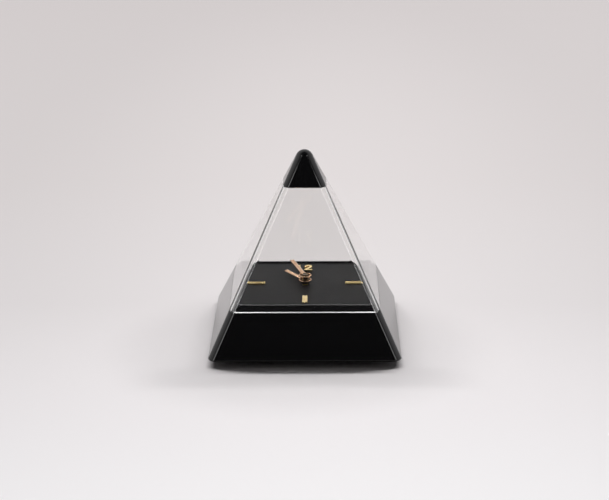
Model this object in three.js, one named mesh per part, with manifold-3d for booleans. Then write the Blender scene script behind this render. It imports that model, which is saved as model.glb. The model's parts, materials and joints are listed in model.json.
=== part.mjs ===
// A table clock shaped as a square pyramid. Millimetres, +Z up, the table at z = 0.
// The clock stands over the origin. Twelve on the dial points to +Y, three to +X.
import * as THREE from 'three';
import { mergeVertices } from 'three/addons/utils/BufferGeometryUtils.js';
import Module from 'manifold-3d';

const wasm = await Module();
wasm.setup();

// Pyramid form, with heights counted from the lower edge of the black housing
const BASE_SIDE = 130;
const APEX_HEIGHT = 136.8;
const HOUSING_HEIGHT = 29.7;
const CAP_START = 105.8;
const EDGE_RADIUS = 5.5;
const TABLE_GAP = 3.8;

// Walls of the housing, the clear shell and the cap
const HOUSING_WALL = 2.6;
const DECK_THICKNESS = 2.2;
const LOWER_EDGE_BEVEL = 0.9;
const SHELL_WALL = 1.7;
const SHELL_BEVEL = 0.2;
const NECK_HEIGHT = 4;

// Clearances
const SLIP_GAP = 0.3;
const PRESS_GAP = 0.1;
const TURN_GAP = 0.2;

// Dial
const TRAY_SIDE_GAP = 1.9;
const TRAY_HEIGHT = 3.5;
const TRAY_RIM = 1.7;
const TRAY_FLOOR = 1.2;
const DIAL_THICKNESS = 1.2;
const DIAL_CORNER_RADIUS = 2;
const MARKER_LENGTH = 12.8;
const MARKER_WIDTH = 3.5;
const MARKER_HEIGHT = 1.3;
const MARKER_GROOVE = 0.6;
const RIDGE_SHARE = 0.6;
const MARKER_RIM_GAP = 3.3;
const MARKER_SIX_RIM_GAP = 5;
const FIGURE_RIM_GAP = 6.9;
const FIGURE_HEIGHT = 11.6;
const FIGURE_WIDTH = 5.5;
const FIGURE_ONE_WIDTH = 2.4;
const FIGURE_STROKE = 1.7;
const FIGURE_THICKNESS = 1.1;
const FIGURE_GAP = 2.4;
const FIGURES_SHIFT = -0.4;

// Hands, set to the time in the photograph, and the heights of their undersides above the dial plate.
// The hour hand was pressed on a few degrees behind the time that the minute hand shows.
const REST_MINUTES = 10 * 60 + 57.3;
const HOUR_HAND_OFFSET = 3;
const HOUR_HAND_LENGTH = 24;
const MINUTE_HAND_LENGTH = 34.6;
const HAND_WIDTH = 3;
const HAND_THICKNESS = 1;
const HAND_GROOVE = 0.45;
const HAND_RING_RADIUS = 4.4;
const HAND_RING_WALL = 1.1;
const HAND_WEB = 0.4;
const HOUR_HAND_LIFT = 2.5;
const MINUTE_HAND_LIFT = 5.7;
const COLLET_WALL = 0.7;
const HOUR_COLLET_DROP = 1.8;
const MINUTE_COLLET_DROP = 1.8;

// Cell and movement. Depths are counted down from the movement's front face.
const CELL_DIAMETER = 14.5;
const CELL_LENGTH = 50.5;
const CELL_BEVEL = 0.6;
const CELL_NUB_RADIUS = 2.75;
const CELL_NUB_LENGTH = 1;
const CONTACT_THICKNESS = 0.4;
const CONTACT_HALF = 5;
const LEAD_WIDTH = 1.6;
const SPRING_LENGTH = 2.3;
const SPRING_WIRE = 0.5;
const SPRING_TURNS = 2;
const SPRING_RADIUS = 3.4;
const CASE_WALL = 1.2;
const CASE_FRONT = 1.4;
const WHEEL_ROOM = 0.735;
const MOTOR_ROOM = 1.2;
const LID_THICKNESS = 1.4;
const NUT_POCKET_DEPTH = 4;
const NUT_POCKET_RADIUS = 10.5;
const GASKET_THICKNESS = 0.8;
const GASKET_RADIUS = 11;
const BUSH_RADIUS = 4;
const NUT_ACROSS = 12;
const NUT_HEIGHT = 2;
const WASHER_RADIUS = 8;
const WASHER_THICKNESS = 0.5;

// Arbors and gears
const MINUTE_ARBOR_RADIUS = 1.5;
const CLUTCH_RADIUS = 1.2;
const PIPE_WALL = 0.5;
const ARBOR_RADIUS = 0.5;
const MOTION_ARBOR_RADIUS = 0.9;
const PIVOT_DEPTH = 0.7;
const WHEEL_THICKNESS = 0.9;
const PINION_HEIGHT = 1.5;
const CENTRE_MODULE = 0.42;
const TRAIN_MODULE = 0.36;
const MOTION_MODULE = 0.48;
const ADDENDUM_RATIO = 0.75;
const DEDENDUM_RATIO = 1.15;
const TOOTH_ROOT_SHARE = 0.62;
const TOOTH_TIP_SHARE = 0.22;
const TOOTH_COUNT = {
  cannon: 12, motion: 36, motionPinion: 10, hour: 40,
  centre: 45, thirdPinion: 6, third: 48, secondsPinion: 6,
  seconds: 45, stepPinion: 6, step: 32, rotorPinion: 8,
};

// Motor and board
const MAGNET_RADIUS = 3;
const MAGNET_HEIGHT = 3;
const POLE_GAP = 0.6;
const POLE_WIDTH = 1.2;
const STATOR_THICKNESS = 0.8;
const STATOR_LEG = 3.4;
const COIL_RADIUS = 3.2;
const COIL_LENGTH = 9.6;
const COIL_CORE = 1.6;
const COIL_FLANGE = 0.7;
const COIL_GAP = 1.4;
const WINDING_RADIUS = 2.7;
const BOARD_THICKNESS = 1;
const BOARD_WIDTH = 11.5;
const BOARD_LENGTH = 15;
const BOARD_POST_RADIUS = 1.5;
const BOARD_PIN_RADIUS = 0.6;
const BOARD_POST_INSET = 2;
const CHIP_RADIUS = 2;
const CHIP_THICKNESS = 0.8;
const CHIP_INSET = 4.5;
const CHIP_FRONT = 6;
const CRYSTAL_CAN_INSET = 3;
const CRYSTAL_CAN_FRONT = 5;
const CRYSTAL_CAN_RADIUS = 1;
const CRYSTAL_CAN_LENGTH = 6;

// Bottom cover, its door, knob, feet and screws
const COVER_INSET = 6.5;
const COVER_CORNER_RADIUS = 12;
const COVER_SKIN = 2;
const COVER_RIM_THICKNESS = 2;
const FOOT_STANDOUT = 1.8;
const FOOT_RADIUS = 6;
const FOOT_RECESS = 1;
const FOOT_BEVEL = 0.4;
const FOOT_INSET = 12.5;
const SCREW_INSET = 14.5;
const SCREW_Y = 28;
const SCREW_RADIUS = 1.5;
const SCREW_LENGTH = 9;
const SCREW_HEAD_RADIUS = 2.8;
const SCREW_HEAD_HEIGHT = 1.3;
const SCREW_CROSS_LENGTH = 3.4;
const SCREW_CROSS_WIDTH = 0.7;
const SCREW_CROSS_DEPTH = 0.7;
const SCREW_POST_RADIUS = 3.5;
const DOOR_THICKNESS = 1.5;
const DOOR_TONGUE = 1;
const DOOR_TONGUE_THICKNESS = 0.7;
const DOOR_MARGIN = 2.2;
const DOOR_RIB_DEPTH = 0.5;
const DOOR_RIB_COUNT = 4;
const DOOR_RIB_PITCH = 2.4;
const DOOR_RIB_HALF = 10;
const DOOR_GRIP_INSET = 8;
const RAIL_GAP = 0.15;
const CHUTE_WALL = 1.4;
const KNOB_RADIUS = 7;
const KNOB_RECESS = 1.2;
const KNOB_FLUTES = 16;
const KNOB_FLUTE_DEPTH = 0.5;
const KNOB_SOCKET = 3;
const KNOB_WELL_RADIUS = 12;
const KNOB_WELL_WALL = 1.2;

// Facets of round corners and of round pieces
const CORNER_STEPS = 5;
const TIP_STEPS = 4;
const PIN_SIDES = 10;
const SMALL_SIDES = 16;
const ROUND_SIDES = 24;

// Heights above the table
const deckTop = TABLE_GAP + HOUSING_HEIGHT;
const capBottom = TABLE_GAP + CAP_START;
const dialTop = deckTop + TRAY_FLOOR + DIAL_THICKNESS;
const pocketFloor = deckTop - NUT_POCKET_DEPTH;
const pocketUnder = pocketFloor - DECK_THICKNESS;
const movementFront = pocketUnder - GASKET_THICKNESS;
const movementDepth = CASE_FRONT + TURN_GAP + CELL_DIAMETER + SLIP_GAP;
const movementBack = movementFront - movementDepth;
const neckTop = capBottom + NECK_HEIGHT;
const coverUnder = FOOT_STANDOUT;
const skinTop = coverUnder + COVER_SKIN;
const rimUnder = TABLE_GAP + TURN_GAP;
const rimTop = rimUnder + COVER_RIM_THICKNESS;
const hourPipeRadius = MINUTE_ARBOR_RADIUS + TURN_GAP + PIPE_WALL;
const hourHandUnder = dialTop + HOUR_HAND_LIFT;
const minuteHandUnder = dialTop + MINUTE_HAND_LIFT;
const bushTop = pocketFloor + WASHER_THICKNESS + NUT_HEIGHT + SLIP_GAP;

// Plan sizes of the movement: the cell sets its width, the centre wheel where the cell's bay begins
const innerHalf = CELL_LENGTH / 2 + SPRING_LENGTH / 2 + CONTACT_THICKNESS;
const movementHalf = innerHalf + CASE_WALL;
const bayWidth = CELL_DIAMETER + 2 * SLIP_GAP;
const partitionFront = tipRadius(TOOTH_COUNT.centre, CENTRE_MODULE) + WHEEL_ROOM;
const bayFront = partitionFront + CASE_WALL;
const innerRear = bayFront + bayWidth;
const leadY = partitionFront - CONTACT_THICKNESS - TURN_GAP;
const cellY = innerRear - bayWidth / 2;
const cellDepth = CASE_FRONT + TURN_GAP + CELL_DIAMETER / 2;

// The cap's skirt laps over the shell's neck, and each has half of the wall
const capSkirt = (SHELL_WALL - PRESS_GAP) / 2;

// The tray stands clear of the shell all round
const trayInset = SHELL_WALL + TRAY_SIDE_GAP;

// Half width of the pyramid at a height above the table
function halfAt(z) {
  return (BASE_SIDE / 2) * (1 - (z - TABLE_GAP) / APEX_HEIGHT);
}

// Plan sizes of the bottom cover
const coverHalf = halfAt(TABLE_GAP) - COVER_INSET;
const footPlace = coverHalf - FOOT_INSET;
const screwX = coverHalf - SCREW_INSET;

// Solids and booleans
function solid(geometry) {
  const bare = geometry.clone();
  bare.deleteAttribute('normal');
  bare.deleteAttribute('uv');
  const merged = mergeVertices(bare, 1e-4);
  const mesh = new wasm.Mesh({
    numProp: 3,
    vertProperties: new Float32Array(merged.attributes.position.array),
    triVerts: new Uint32Array(merged.index.array),
  });
  return new wasm.Manifold(mesh);
}

function join(first, ...others) {
  return others.reduce((whole, next) => whole.add(next), first);
}

function cut(first, ...others) {
  return others.reduce((whole, next) => whole.subtract(next), first);
}

function toGeometry(body) {
  const mesh = body.getMesh();
  const geometry = new THREE.BufferGeometry();
  geometry.setAttribute('position', new THREE.BufferAttribute(mesh.vertProperties, 3));
  geometry.setIndex(new THREE.BufferAttribute(mesh.triVerts, 1));
  return geometry;
}

// One level of a square with round corners, counterclockwise from above
function squareRing(half, radius, z, steps = CORNER_STEPS) {
  const round = Math.min(radius, half);
  const ring = [];
  for (let corner = 0; corner < 4; corner += 1) {
    const middle = Math.PI / 4 + (corner * Math.PI) / 2;
    const x = Math.sign(Math.cos(middle)) * (half - round);
    const y = Math.sign(Math.sin(middle)) * (half - round);
    for (let i = 0; i <= steps; i += 1) {
      const angle = middle - Math.PI / 4 + (i / steps) * (Math.PI / 2);
      ring.push([x + round * Math.cos(angle), y + round * Math.sin(angle), z]);
    }
  }
  return ring;
}

// A closed solid through levels that all have as many points, from the lowest to the highest
function loft(rings) {
  const count = rings[0].length;
  const position = rings.flat(2);
  const index = [];
  for (let level = 0; level + 1 < rings.length; level += 1) {
    for (let i = 0; i < count; i += 1) {
      const a = level * count + i;
      const b = level * count + ((i + 1) % count);
      index.push(a, b, b + count, a, b + count, a + count);
    }
  }
  const last = (rings.length - 1) * count;
  for (let i = 1; i + 1 < count; i += 1) {
    index.push(0, i + 1, i);
    index.push(last, last + i, last + i + 1);
  }
  const geometry = new THREE.BufferGeometry();
  geometry.setAttribute('position', new THREE.Float32BufferAttribute(position, 3));
  geometry.setIndex(index);
  return solid(geometry);
}

function box(x0, x1, y0, y1, z0, z1) {
  const geometry = new THREE.BoxGeometry(x1 - x0, y1 - y0, z1 - z0);
  geometry.translate((x0 + x1) / 2, (y0 + y1) / 2, (z0 + z1) / 2);
  return solid(geometry);
}

function rod(radius, z0, z1, x = 0, y = 0, sides = SMALL_SIDES) {
  const geometry = new THREE.CylinderGeometry(radius, radius, z1 - z0, sides);
  geometry.rotateX(Math.PI / 2);
  geometry.translate(x, y, (z0 + z1) / 2);
  return solid(geometry);
}

function prism(shape, z0, z1, curveSegments = CORNER_STEPS) {
  const geometry = new THREE.ExtrudeGeometry(shape, { depth: z1 - z0, bevelEnabled: false, curveSegments });
  geometry.translate(0, 0, z0);
  return solid(geometry);
}

// A solid of revolution about Z from [radius, height] pairs, lowest first, both ends on the axis
function turned(profile, sides = ROUND_SIDES) {
  const points = profile.map(([r, z]) => new THREE.Vector2(r, z));
  const geometry = new THREE.LatheGeometry(points, sides);
  geometry.rotateX(Math.PI / 2);
  return solid(geometry);
}

function polygon(points) {
  return new THREE.Shape(points.map(([x, y]) => new THREE.Vector2(x, y)));
}

function roundedPlate(half, radius, z0, z1) {
  return loft([squareRing(half, radius, z0), squareRing(half, radius, z1)]);
}

// A level of the pyramid, moved inwards by an inset measured level with the table
function pyramidRing(z, inset = 0) {
  return squareRing(halfAt(z) - inset, Math.max(EDGE_RADIUS - inset, 1), z);
}

// Finishes
function finish(name, color, roughness, metalness, extra = {}) {
  return new THREE.MeshStandardMaterial({ name, color, roughness, metalness, ...extra });
}

const glossBlack = () => finish('gloss_black', 0x0d0d0f, 0.12, 0);
const clearPlastic = () => finish('clear_plastic', 0xf2f4f4, 0.05, 0, { transparent: true, opacity: 0.25 });
const satinDial = () => finish('satin_dial', 0x3a3a3c, 0.5, 0.1);
const gold = () => finish('gold', 0xdcbe82, 0.25, 1);
const roseGold = () => finish('rose_gold', 0xc8966e, 0.3, 1);
const mattBlack = () => finish('matt_black', 0x1a1a1b, 0.6, 0);
const rubber = () => finish('rubber', 0x101010, 0.9, 0);
const steel = () => finish('steel', 0xb8babd, 0.35, 1);
const brass = () => finish('brass', 0xc8a65a, 0.35, 1);
const nylon = () => finish('nylon', 0xe9e6dc, 0.55, 0);
const cellWrap = () => finish('cell_wrap', 0x2f5d50, 0.4, 0.2);
const boardGreen = () => finish('board', 0x2c5a36, 0.6, 0);
const copper = () => finish('copper', 0xb5653a, 0.4, 0.8);
const magnetGrey = () => finish('magnet', 0x4a4b4d, 0.5, 0.8);

const clock = new THREE.Group();
clock.name = 'pyramid_clock';

function addPiece(name, body, material, parent = clock) {
  const mesh = new THREE.Mesh(toGeometry(body), material);
  mesh.name = name;
  parent.add(mesh);
  return mesh;
}

// Case

function baseHousing() {
  const outer = loft([
    squareRing(halfAt(TABLE_GAP) - LOWER_EDGE_BEVEL, EDGE_RADIUS, TABLE_GAP),
    pyramidRing(TABLE_GAP + LOWER_EDGE_BEVEL),
    pyramidRing(deckTop),
  ]);
  const deckUnder = deckTop - DECK_THICKNESS;
  const hollow = loft([
    pyramidRing(TABLE_GAP - 1, HOUSING_WALL),
    pyramidRing(deckUnder, HOUSING_WALL),
  ]);
  const pocketOuter = NUT_POCKET_RADIUS + DECK_THICKNESS;
  const pocketShell = rod(pocketOuter, pocketUnder, deckTop, 0, 0, ROUND_SIDES);
  const pocket = rod(NUT_POCKET_RADIUS, pocketFloor, deckTop + 1, 0, 0, ROUND_SIDES);
  const bushHole = rod(BUSH_RADIUS + SLIP_GAP, pocketUnder - 1, deckTop, 0, 0, ROUND_SIDES);
  let housing = cut(join(cut(outer, hollow), pocketShell), pocket, bushHole);
  for (const [x, y] of screwPlaces()) {
    const post = rod(SCREW_POST_RADIUS, rimTop, deckUnder + DECK_THICKNESS / 2, x, y);
    const pilot = rod(SCREW_RADIUS + PRESS_GAP, rimTop - 1, screwTip() + SLIP_GAP, x, y);
    housing = cut(join(housing, post), pilot);
  }
  return housing;
}

function crystalShell() {
  const neckInset = capSkirt + PRESS_GAP;
  const body = loft([
    squareRing(halfAt(deckTop) - SHELL_BEVEL, EDGE_RADIUS, deckTop),
    pyramidRing(deckTop + SHELL_BEVEL),
    pyramidRing(capBottom),
  ]);
  const neck = loft([pyramidRing(capBottom - 1, neckInset), pyramidRing(neckTop, neckInset)]);
  const hollow = loft([pyramidRing(deckTop - 1, SHELL_WALL), pyramidRing(neckTop + 1, SHELL_WALL)]);
  return cut(join(body, neck), hollow);
}

// The faces run up to the level where the square has become a circle, and a ball closes the tip
function apexCap() {
  const ballStart = TABLE_GAP + APEX_HEIGHT * (1 - (2 * EDGE_RADIUS) / BASE_SIDE);
  const faceAngle = Math.atan2(APEX_HEIGHT, BASE_SIDE / 2);
  const ball = EDGE_RADIUS / Math.sin(faceAngle);
  const ballCentre = ballStart - ball * Math.cos(faceAngle);
  const rings = [pyramidRing(capBottom), squareRing(EDGE_RADIUS, EDGE_RADIUS, ballStart)];
  const firstAngle = Math.PI / 2 - faceAngle;
  for (let i = 1; i <= TIP_STEPS; i += 1) {
    const angle = firstAngle + ((Math.PI / 2 - firstAngle) * i) / (TIP_STEPS + 0.4);
    const radius = ball * Math.cos(angle);
    rings.push(squareRing(radius, radius, ballCentre + ball * Math.sin(angle)));
  }
  const hollow = loft([pyramidRing(capBottom - 1, capSkirt), pyramidRing(neckTop + SLIP_GAP, capSkirt)]);
  return cut(loft(rings), hollow);
}

// Dial

const recessHalf = halfAt(deckTop + TRAY_HEIGHT) - trayInset - TRAY_RIM;

function dialTray() {
  const block = loft([pyramidRing(deckTop, trayInset), pyramidRing(deckTop + TRAY_HEIGHT, trayInset)]);
  const floor = deckTop + TRAY_FLOOR;
  const recess = roundedPlate(recessHalf, DIAL_CORNER_RADIUS, floor, deckTop + TRAY_HEIGHT + 1);
  const hole = rod(BUSH_RADIUS + SLIP_GAP, deckTop - 1, floor + 1, 0, 0, ROUND_SIDES);
  return cut(block, recess, hole);
}

function dialPlate() {
  const under = deckTop + TRAY_FLOOR;
  const plate = roundedPlate(recessHalf - SLIP_GAP, DIAL_CORNER_RADIUS, under, dialTop);
  return cut(plate, rod(hourPipeRadius + SLIP_GAP, under - 1, dialTop + 1, 0, 0, ROUND_SIDES));
}

// A bar with two ridges and a groove between them, lying along X from the origin outwards
function ridgedBar(start, end, width, thickness, groove, under) {
  const w = width / 2;
  const ridge = w * RIDGE_SHARE;
  const side = thickness * RIDGE_SHARE;
  const section = polygon([
    [-w, 0], [w, 0], [w, side], [ridge, thickness], [0, thickness - groove], [-ridge, thickness], [-w, side],
  ]);
  const geometry = new THREE.ExtrudeGeometry(section, { depth: end - start, bevelEnabled: false });
  geometry.rotateX(Math.PI / 2);
  geometry.rotateZ(Math.PI / 2);
  geometry.translate(start, 0, under);
  return solid(geometry);
}

function marker(hour, rimGap) {
  const end = recessHalf - rimGap;
  const bar = ridgedBar(end - MARKER_LENGTH, end, MARKER_WIDTH, MARKER_HEIGHT, MARKER_GROOVE, 0);
  return bar.rotate([0, 0, 90 - hour * 30]).translate([0, 0, dialTop]);
}

function figureOne() {
  const w = FIGURE_STROKE;
  const h = FIGURE_HEIGHT;
  const flag = FIGURE_ONE_WIDTH - w;
  const shape = polygon([
    [0, 0], [w, 0], [w, h], [0, h], [-flag, h - flag * 0.8], [-flag, h - flag * 0.8 - w * 0.9],
    [0, h - w],
  ]);
  return prism(shape, 0, FIGURE_THICKNESS);
}

function figureTwo() {
  const w = FIGURE_STROKE;
  const outer = FIGURE_WIDTH / 2;
  const bowlY = FIGURE_HEIGHT - outer;
  const inner = outer - w;
  const steps = 8;
  const reach = Math.PI * 1.18;
  const edge = [];
  for (let i = 0; i <= steps; i += 1) {
    const angle = Math.PI - (reach * i) / steps;
    edge.push([outer + outer * Math.cos(angle), bowlY + outer * Math.sin(angle)]);
  }
  edge.push([w * 1.35, w], [FIGURE_WIDTH, w], [FIGURE_WIDTH, 0], [0, 0], [0, w * 0.9]);
  for (let i = steps; i >= 0; i -= 1) {
    const angle = Math.PI - (reach * i) / steps;
    edge.push([outer + inner * Math.cos(angle), bowlY + inner * Math.sin(angle)]);
  }
  return prism(polygon(edge), 0, FIGURE_THICKNESS);
}

// Hands

// A hand pointing along +X: a ridged bar, a ring round the axis, a thin web and a collet
function hand(length, boreRadius, colletDrop, colletRise) {
  const ringInner = HAND_RING_RADIUS - HAND_RING_WALL;
  const bar = ridgedBar(ringInner + HAND_RING_WALL / 2, length, HAND_WIDTH, HAND_THICKNESS, HAND_GROOVE, 0);
  const rim = rod(HAND_RING_RADIUS, 0, HAND_THICKNESS, 0, 0, ROUND_SIDES);
  const sunk = rod(ringInner, HAND_WEB, HAND_THICKNESS + 1, 0, 0, ROUND_SIDES);
  const collet = rod(boreRadius + COLLET_WALL, -colletDrop, colletRise, 0, 0, ROUND_SIDES);
  const bore = rod(boreRadius, -colletDrop - 1, colletRise + 1, 0, 0, ROUND_SIDES);
  return cut(join(cut(join(rim, bar), sunk), collet), bore);
}

const minuteAngle = 90 - (REST_MINUTES % 60) * 6;
const hourAngle = 90 - REST_MINUTES * 0.5 + HOUR_HAND_OFFSET;

// Movement

const wheelLevels = 6;
const layerPitch = (movementDepth - CASE_FRONT - LID_THICKNESS - 2 * SLIP_GAP) / wheelLevels;

// Depth of the upper face of a wheel in a layer, counted down from the front face
function layerDepth(layer) {
  return CASE_FRONT + SLIP_GAP + layer * layerPitch + (layerPitch - WHEEL_THICKNESS) / 2;
}

function tipRadius(teeth, module) {
  return (teeth * module) / 2 + ADDENDUM_RATIO * module;
}

function gearShape(teeth, module, turn) {
  const pitch = (teeth * module) / 2;
  const root = pitch - DEDENDUM_RATIO * module;
  const tip = tipRadius(teeth, module);
  const step = (2 * Math.PI) / teeth;
  const points = [];
  for (let i = 0; i < teeth; i += 1) {
    const middle = turn + i * step;
    const corners = [
      [root, -TOOTH_ROOT_SHARE], [tip, -TOOTH_TIP_SHARE], [tip, TOOTH_TIP_SHARE], [root, TOOTH_ROOT_SHARE],
    ];
    for (const [radius, share] of corners) {
      const angle = middle + (share * step) / 2;
      points.push([radius * Math.cos(angle), radius * Math.sin(angle)]);
    }
  }
  return polygon(points);
}

// A gear between two depths, with one tooth centred on the given direction
function gear(teeth, module, depth, height, x, y, direction) {
  const top = movementFront - depth;
  return prism(gearShape(teeth, module, direction), top - height, top).translate([x, y, 0]);
}

function wheelGear(layer, teeth, module, place, direction) {
  return gear(teeth, module, layerDepth(layer), WHEEL_THICKNESS, place.x, place.y, direction);
}

function pinionGear(layer, teeth, module, place, direction) {
  const depth = layerDepth(layer) - (PINION_HEIGHT - WHEEL_THICKNESS) / 2;
  return gear(teeth, module, depth, PINION_HEIGHT, place.x, place.y, direction);
}

// The place of the next arbor, one gear mesh away in a given direction
function meshed(from, teethA, teethB, module, degrees) {
  const distance = ((teethA + teethB) * module) / 2;
  const angle = THREE.MathUtils.degToRad(degrees);
  return { x: from.x + distance * Math.cos(angle), y: from.y + distance * Math.sin(angle), angle };
}

// Direction for the second gear of a mesh, so that a gap faces the tooth of the first
function facing(angle, teeth) {
  return angle + Math.PI + Math.PI / teeth;
}

const centre = { x: 0, y: 0 };
const motionPlace = meshed(centre, TOOTH_COUNT.cannon, TOOTH_COUNT.motion, MOTION_MODULE, -20);
const cannonPair = TOOTH_COUNT.cannon + TOOTH_COUNT.motion;
const hourPair = TOOTH_COUNT.motionPinion + TOOTH_COUNT.hour;
const pinionModule = (MOTION_MODULE * cannonPair) / hourPair;
const thirdPlace = meshed(centre, TOOTH_COUNT.centre, TOOTH_COUNT.thirdPinion, CENTRE_MODULE, 200);
const secondsPlace = meshed(thirdPlace, TOOTH_COUNT.third, TOOTH_COUNT.secondsPinion, TRAIN_MODULE, 272);
const stepPlace = meshed(secondsPlace, TOOTH_COUNT.seconds, TOOTH_COUNT.stepPinion, TRAIN_MODULE, 334);
const rotorPlace = meshed(stepPlace, TOOTH_COUNT.step, TOOTH_COUNT.rotorPinion, TRAIN_MODULE, 0);

// The motor's arms set where the movement ends in front
const coilHalf = COIL_LENGTH / 2;
const armOuter = coilHalf + STATOR_LEG;
const innerFront = rotorPlace.y - armOuter - MOTOR_ROOM;

const pivotTop = movementFront - CASE_FRONT + PIVOT_DEPTH;
const lidInner = movementBack + LID_THICKNESS;
const pivotBottom = lidInner - PIVOT_DEPTH;
const trainPlaces = [thirdPlace, secondsPlace, stepPlace, rotorPlace];

function arbor(place, radius = ARBOR_RADIUS) {
  return rod(radius, pivotBottom + TURN_GAP, pivotTop - TURN_GAP, place.x, place.y, PIN_SIDES);
}

const knobPlace = motionPlace;

function movementCase() {
  const h = movementHalf;
  const outerFront = innerFront - CASE_WALL;
  const back = movementBack;
  const front = movementFront;
  const block = box(-h, h, outerFront, innerRear + CASE_WALL, back, front);
  const trainRoom = box(-innerHalf, innerHalf, innerFront, partitionFront, back - 1, front - CASE_FRONT);
  const bayRoom = box(-innerHalf, innerHalf, bayFront, innerRear, back - 1, front - CASE_FRONT);
  const lidRoom = box(-h - 1, h + 1, outerFront - 1, partitionFront, back - 1, back + LID_THICKNESS);
  const notchEnd = -innerHalf + CONTACT_THICKNESS + 2 * SLIP_GAP;
  const leadNotch = box(
    -innerHalf, notchEnd, partitionFront - 1, bayFront + 1, leadBottom - SLIP_GAP, leadTop + SLIP_GAP,
  );
  const bush = rod(BUSH_RADIUS, front - CASE_FRONT / 2, bushTop, 0, 0, ROUND_SIDES);
  const bore = rod(hourPipeRadius + TURN_GAP, back, bushTop + 1, 0, 0, ROUND_SIDES);
  let body = cut(join(cut(block, trainRoom, bayRoom, lidRoom, leadNotch), bush), bore);
  for (const place of [...trainPlaces, motionPlace]) {
    const radius = (place === motionPlace ? MOTION_ARBOR_RADIUS : ARBOR_RADIUS) + TURN_GAP;
    body = cut(body, rod(radius, front - CASE_FRONT - 1, pivotTop, place.x, place.y, PIN_SIDES));
  }
  for (const [x, y] of boardPosts) {
    const post = rod(BOARD_POST_RADIUS, boardTop, front - CASE_FRONT / 2, x, y, PIN_SIDES);
    const pin = rod(BOARD_PIN_RADIUS, boardTop - BOARD_THICKNESS - 0.5, boardTop + 0.5, x, y, PIN_SIDES);
    body = join(body, post, pin);
  }
  for (const [x, y] of motorPosts) {
    body = join(body, rod(BOARD_POST_RADIUS, statorTop, front - CASE_FRONT / 2, x, y, PIN_SIDES));
  }
  return body;
}

function movementLid() {
  const plate = box(
    -movementHalf, movementHalf, innerFront - CASE_WALL, partitionFront - SLIP_GAP, movementBack, lidInner,
  );
  let lid = plate;
  for (const place of trainPlaces) {
    lid = cut(lid, rod(ARBOR_RADIUS + TURN_GAP, pivotBottom, lidInner + 1, place.x, place.y, PIN_SIDES));
  }
  lid = cut(lid, rod(ARBOR_RADIUS + TURN_GAP, pivotBottom, lidInner + 1, 0, 0, PIN_SIDES));
  const { x, y } = motionPlace;
  return cut(lid, rod(MOTION_ARBOR_RADIUS + TURN_GAP, movementBack - 1, lidInner + 1, x, y, PIN_SIDES));
}

function minuteArbor() {
  const cannonDepth = layerDepth(1) - (PINION_HEIGHT - WHEEL_THICKNESS) / 2;
  const shaftTop = minuteHandUnder + HAND_THICKNESS + SLIP_GAP;
  const pivot = rod(ARBOR_RADIUS, pivotBottom + TURN_GAP, movementFront - layerDepth(3), 0, 0, PIN_SIDES);
  const clutch = rod(CLUTCH_RADIUS, movementFront - layerDepth(3),
    movementFront - cannonDepth - PINION_HEIGHT / 2, 0, 0, SMALL_SIDES);
  const shaft = rod(MINUTE_ARBOR_RADIUS, movementFront - cannonDepth - PINION_HEIGHT / 2, shaftTop,
    0, 0, SMALL_SIDES);
  const cannon = pinionGear(1, TOOTH_COUNT.cannon, MOTION_MODULE, centre, motionPlace.angle);
  return join(pivot, clutch, shaft, cannon);
}

function hourWheel() {
  const wheel = wheelGear(0, TOOTH_COUNT.hour, pinionModule, centre, motionPlace.angle);
  const pipeTop = hourHandUnder + HAND_THICKNESS;
  const pipe = rod(hourPipeRadius, movementFront - layerDepth(0) - WHEEL_THICKNESS, pipeTop,
    0, 0, ROUND_SIDES);
  const bore = rod(MINUTE_ARBOR_RADIUS + TURN_GAP, movementBack, pipeTop + 1, 0, 0, ROUND_SIDES);
  return cut(join(wheel, pipe), bore);
}

function motionWheel() {
  const wheel = wheelGear(1, TOOTH_COUNT.motion, MOTION_MODULE, motionPlace,
    facing(motionPlace.angle, TOOTH_COUNT.motion));
  const pinion = pinionGear(0, TOOTH_COUNT.motionPinion, pinionModule, motionPlace,
    facing(motionPlace.angle, TOOTH_COUNT.motionPinion));
  const shaft = rod(MOTION_ARBOR_RADIUS, knobTop - KNOB_SOCKET, pivotTop - TURN_GAP,
    motionPlace.x, motionPlace.y, PIN_SIDES);
  return join(wheel, pinion, shaft);
}

function centreWheel() {
  const wheel = wheelGear(2, TOOTH_COUNT.centre, CENTRE_MODULE, centre, thirdPlace.angle);
  return cut(wheel, rod(CLUTCH_RADIUS + PRESS_GAP, movementBack, movementFront, 0, 0, SMALL_SIDES));
}

// A wheel and the pinion above it on one arbor: the pinion turns the wheel before it in the train
function trainWheel(place, layer, wheelTeeth, wheelTurn, pinionTeeth, pinionSize = TRAIN_MODULE) {
  const wheel = wheelGear(layer, wheelTeeth, TRAIN_MODULE, place, wheelTurn);
  const pinion = pinionGear(layer - 1, pinionTeeth, pinionSize, place, facing(place.angle, pinionTeeth));
  return join(wheel, pinion, arbor(place));
}

const magnetDepth = layerDepth(3) - MAGNET_HEIGHT / 2;

function rotor() {
  const pinion = pinionGear(5, TOOTH_COUNT.rotorPinion, TRAIN_MODULE, rotorPlace,
    facing(rotorPlace.angle, TOOTH_COUNT.rotorPinion));
  const top = movementFront - magnetDepth;
  const magnet = rod(MAGNET_RADIUS, top - MAGNET_HEIGHT, top, rotorPlace.x, rotorPlace.y, ROUND_SIDES);
  return join(pinion, magnet, arbor(rotorPlace));
}

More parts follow.
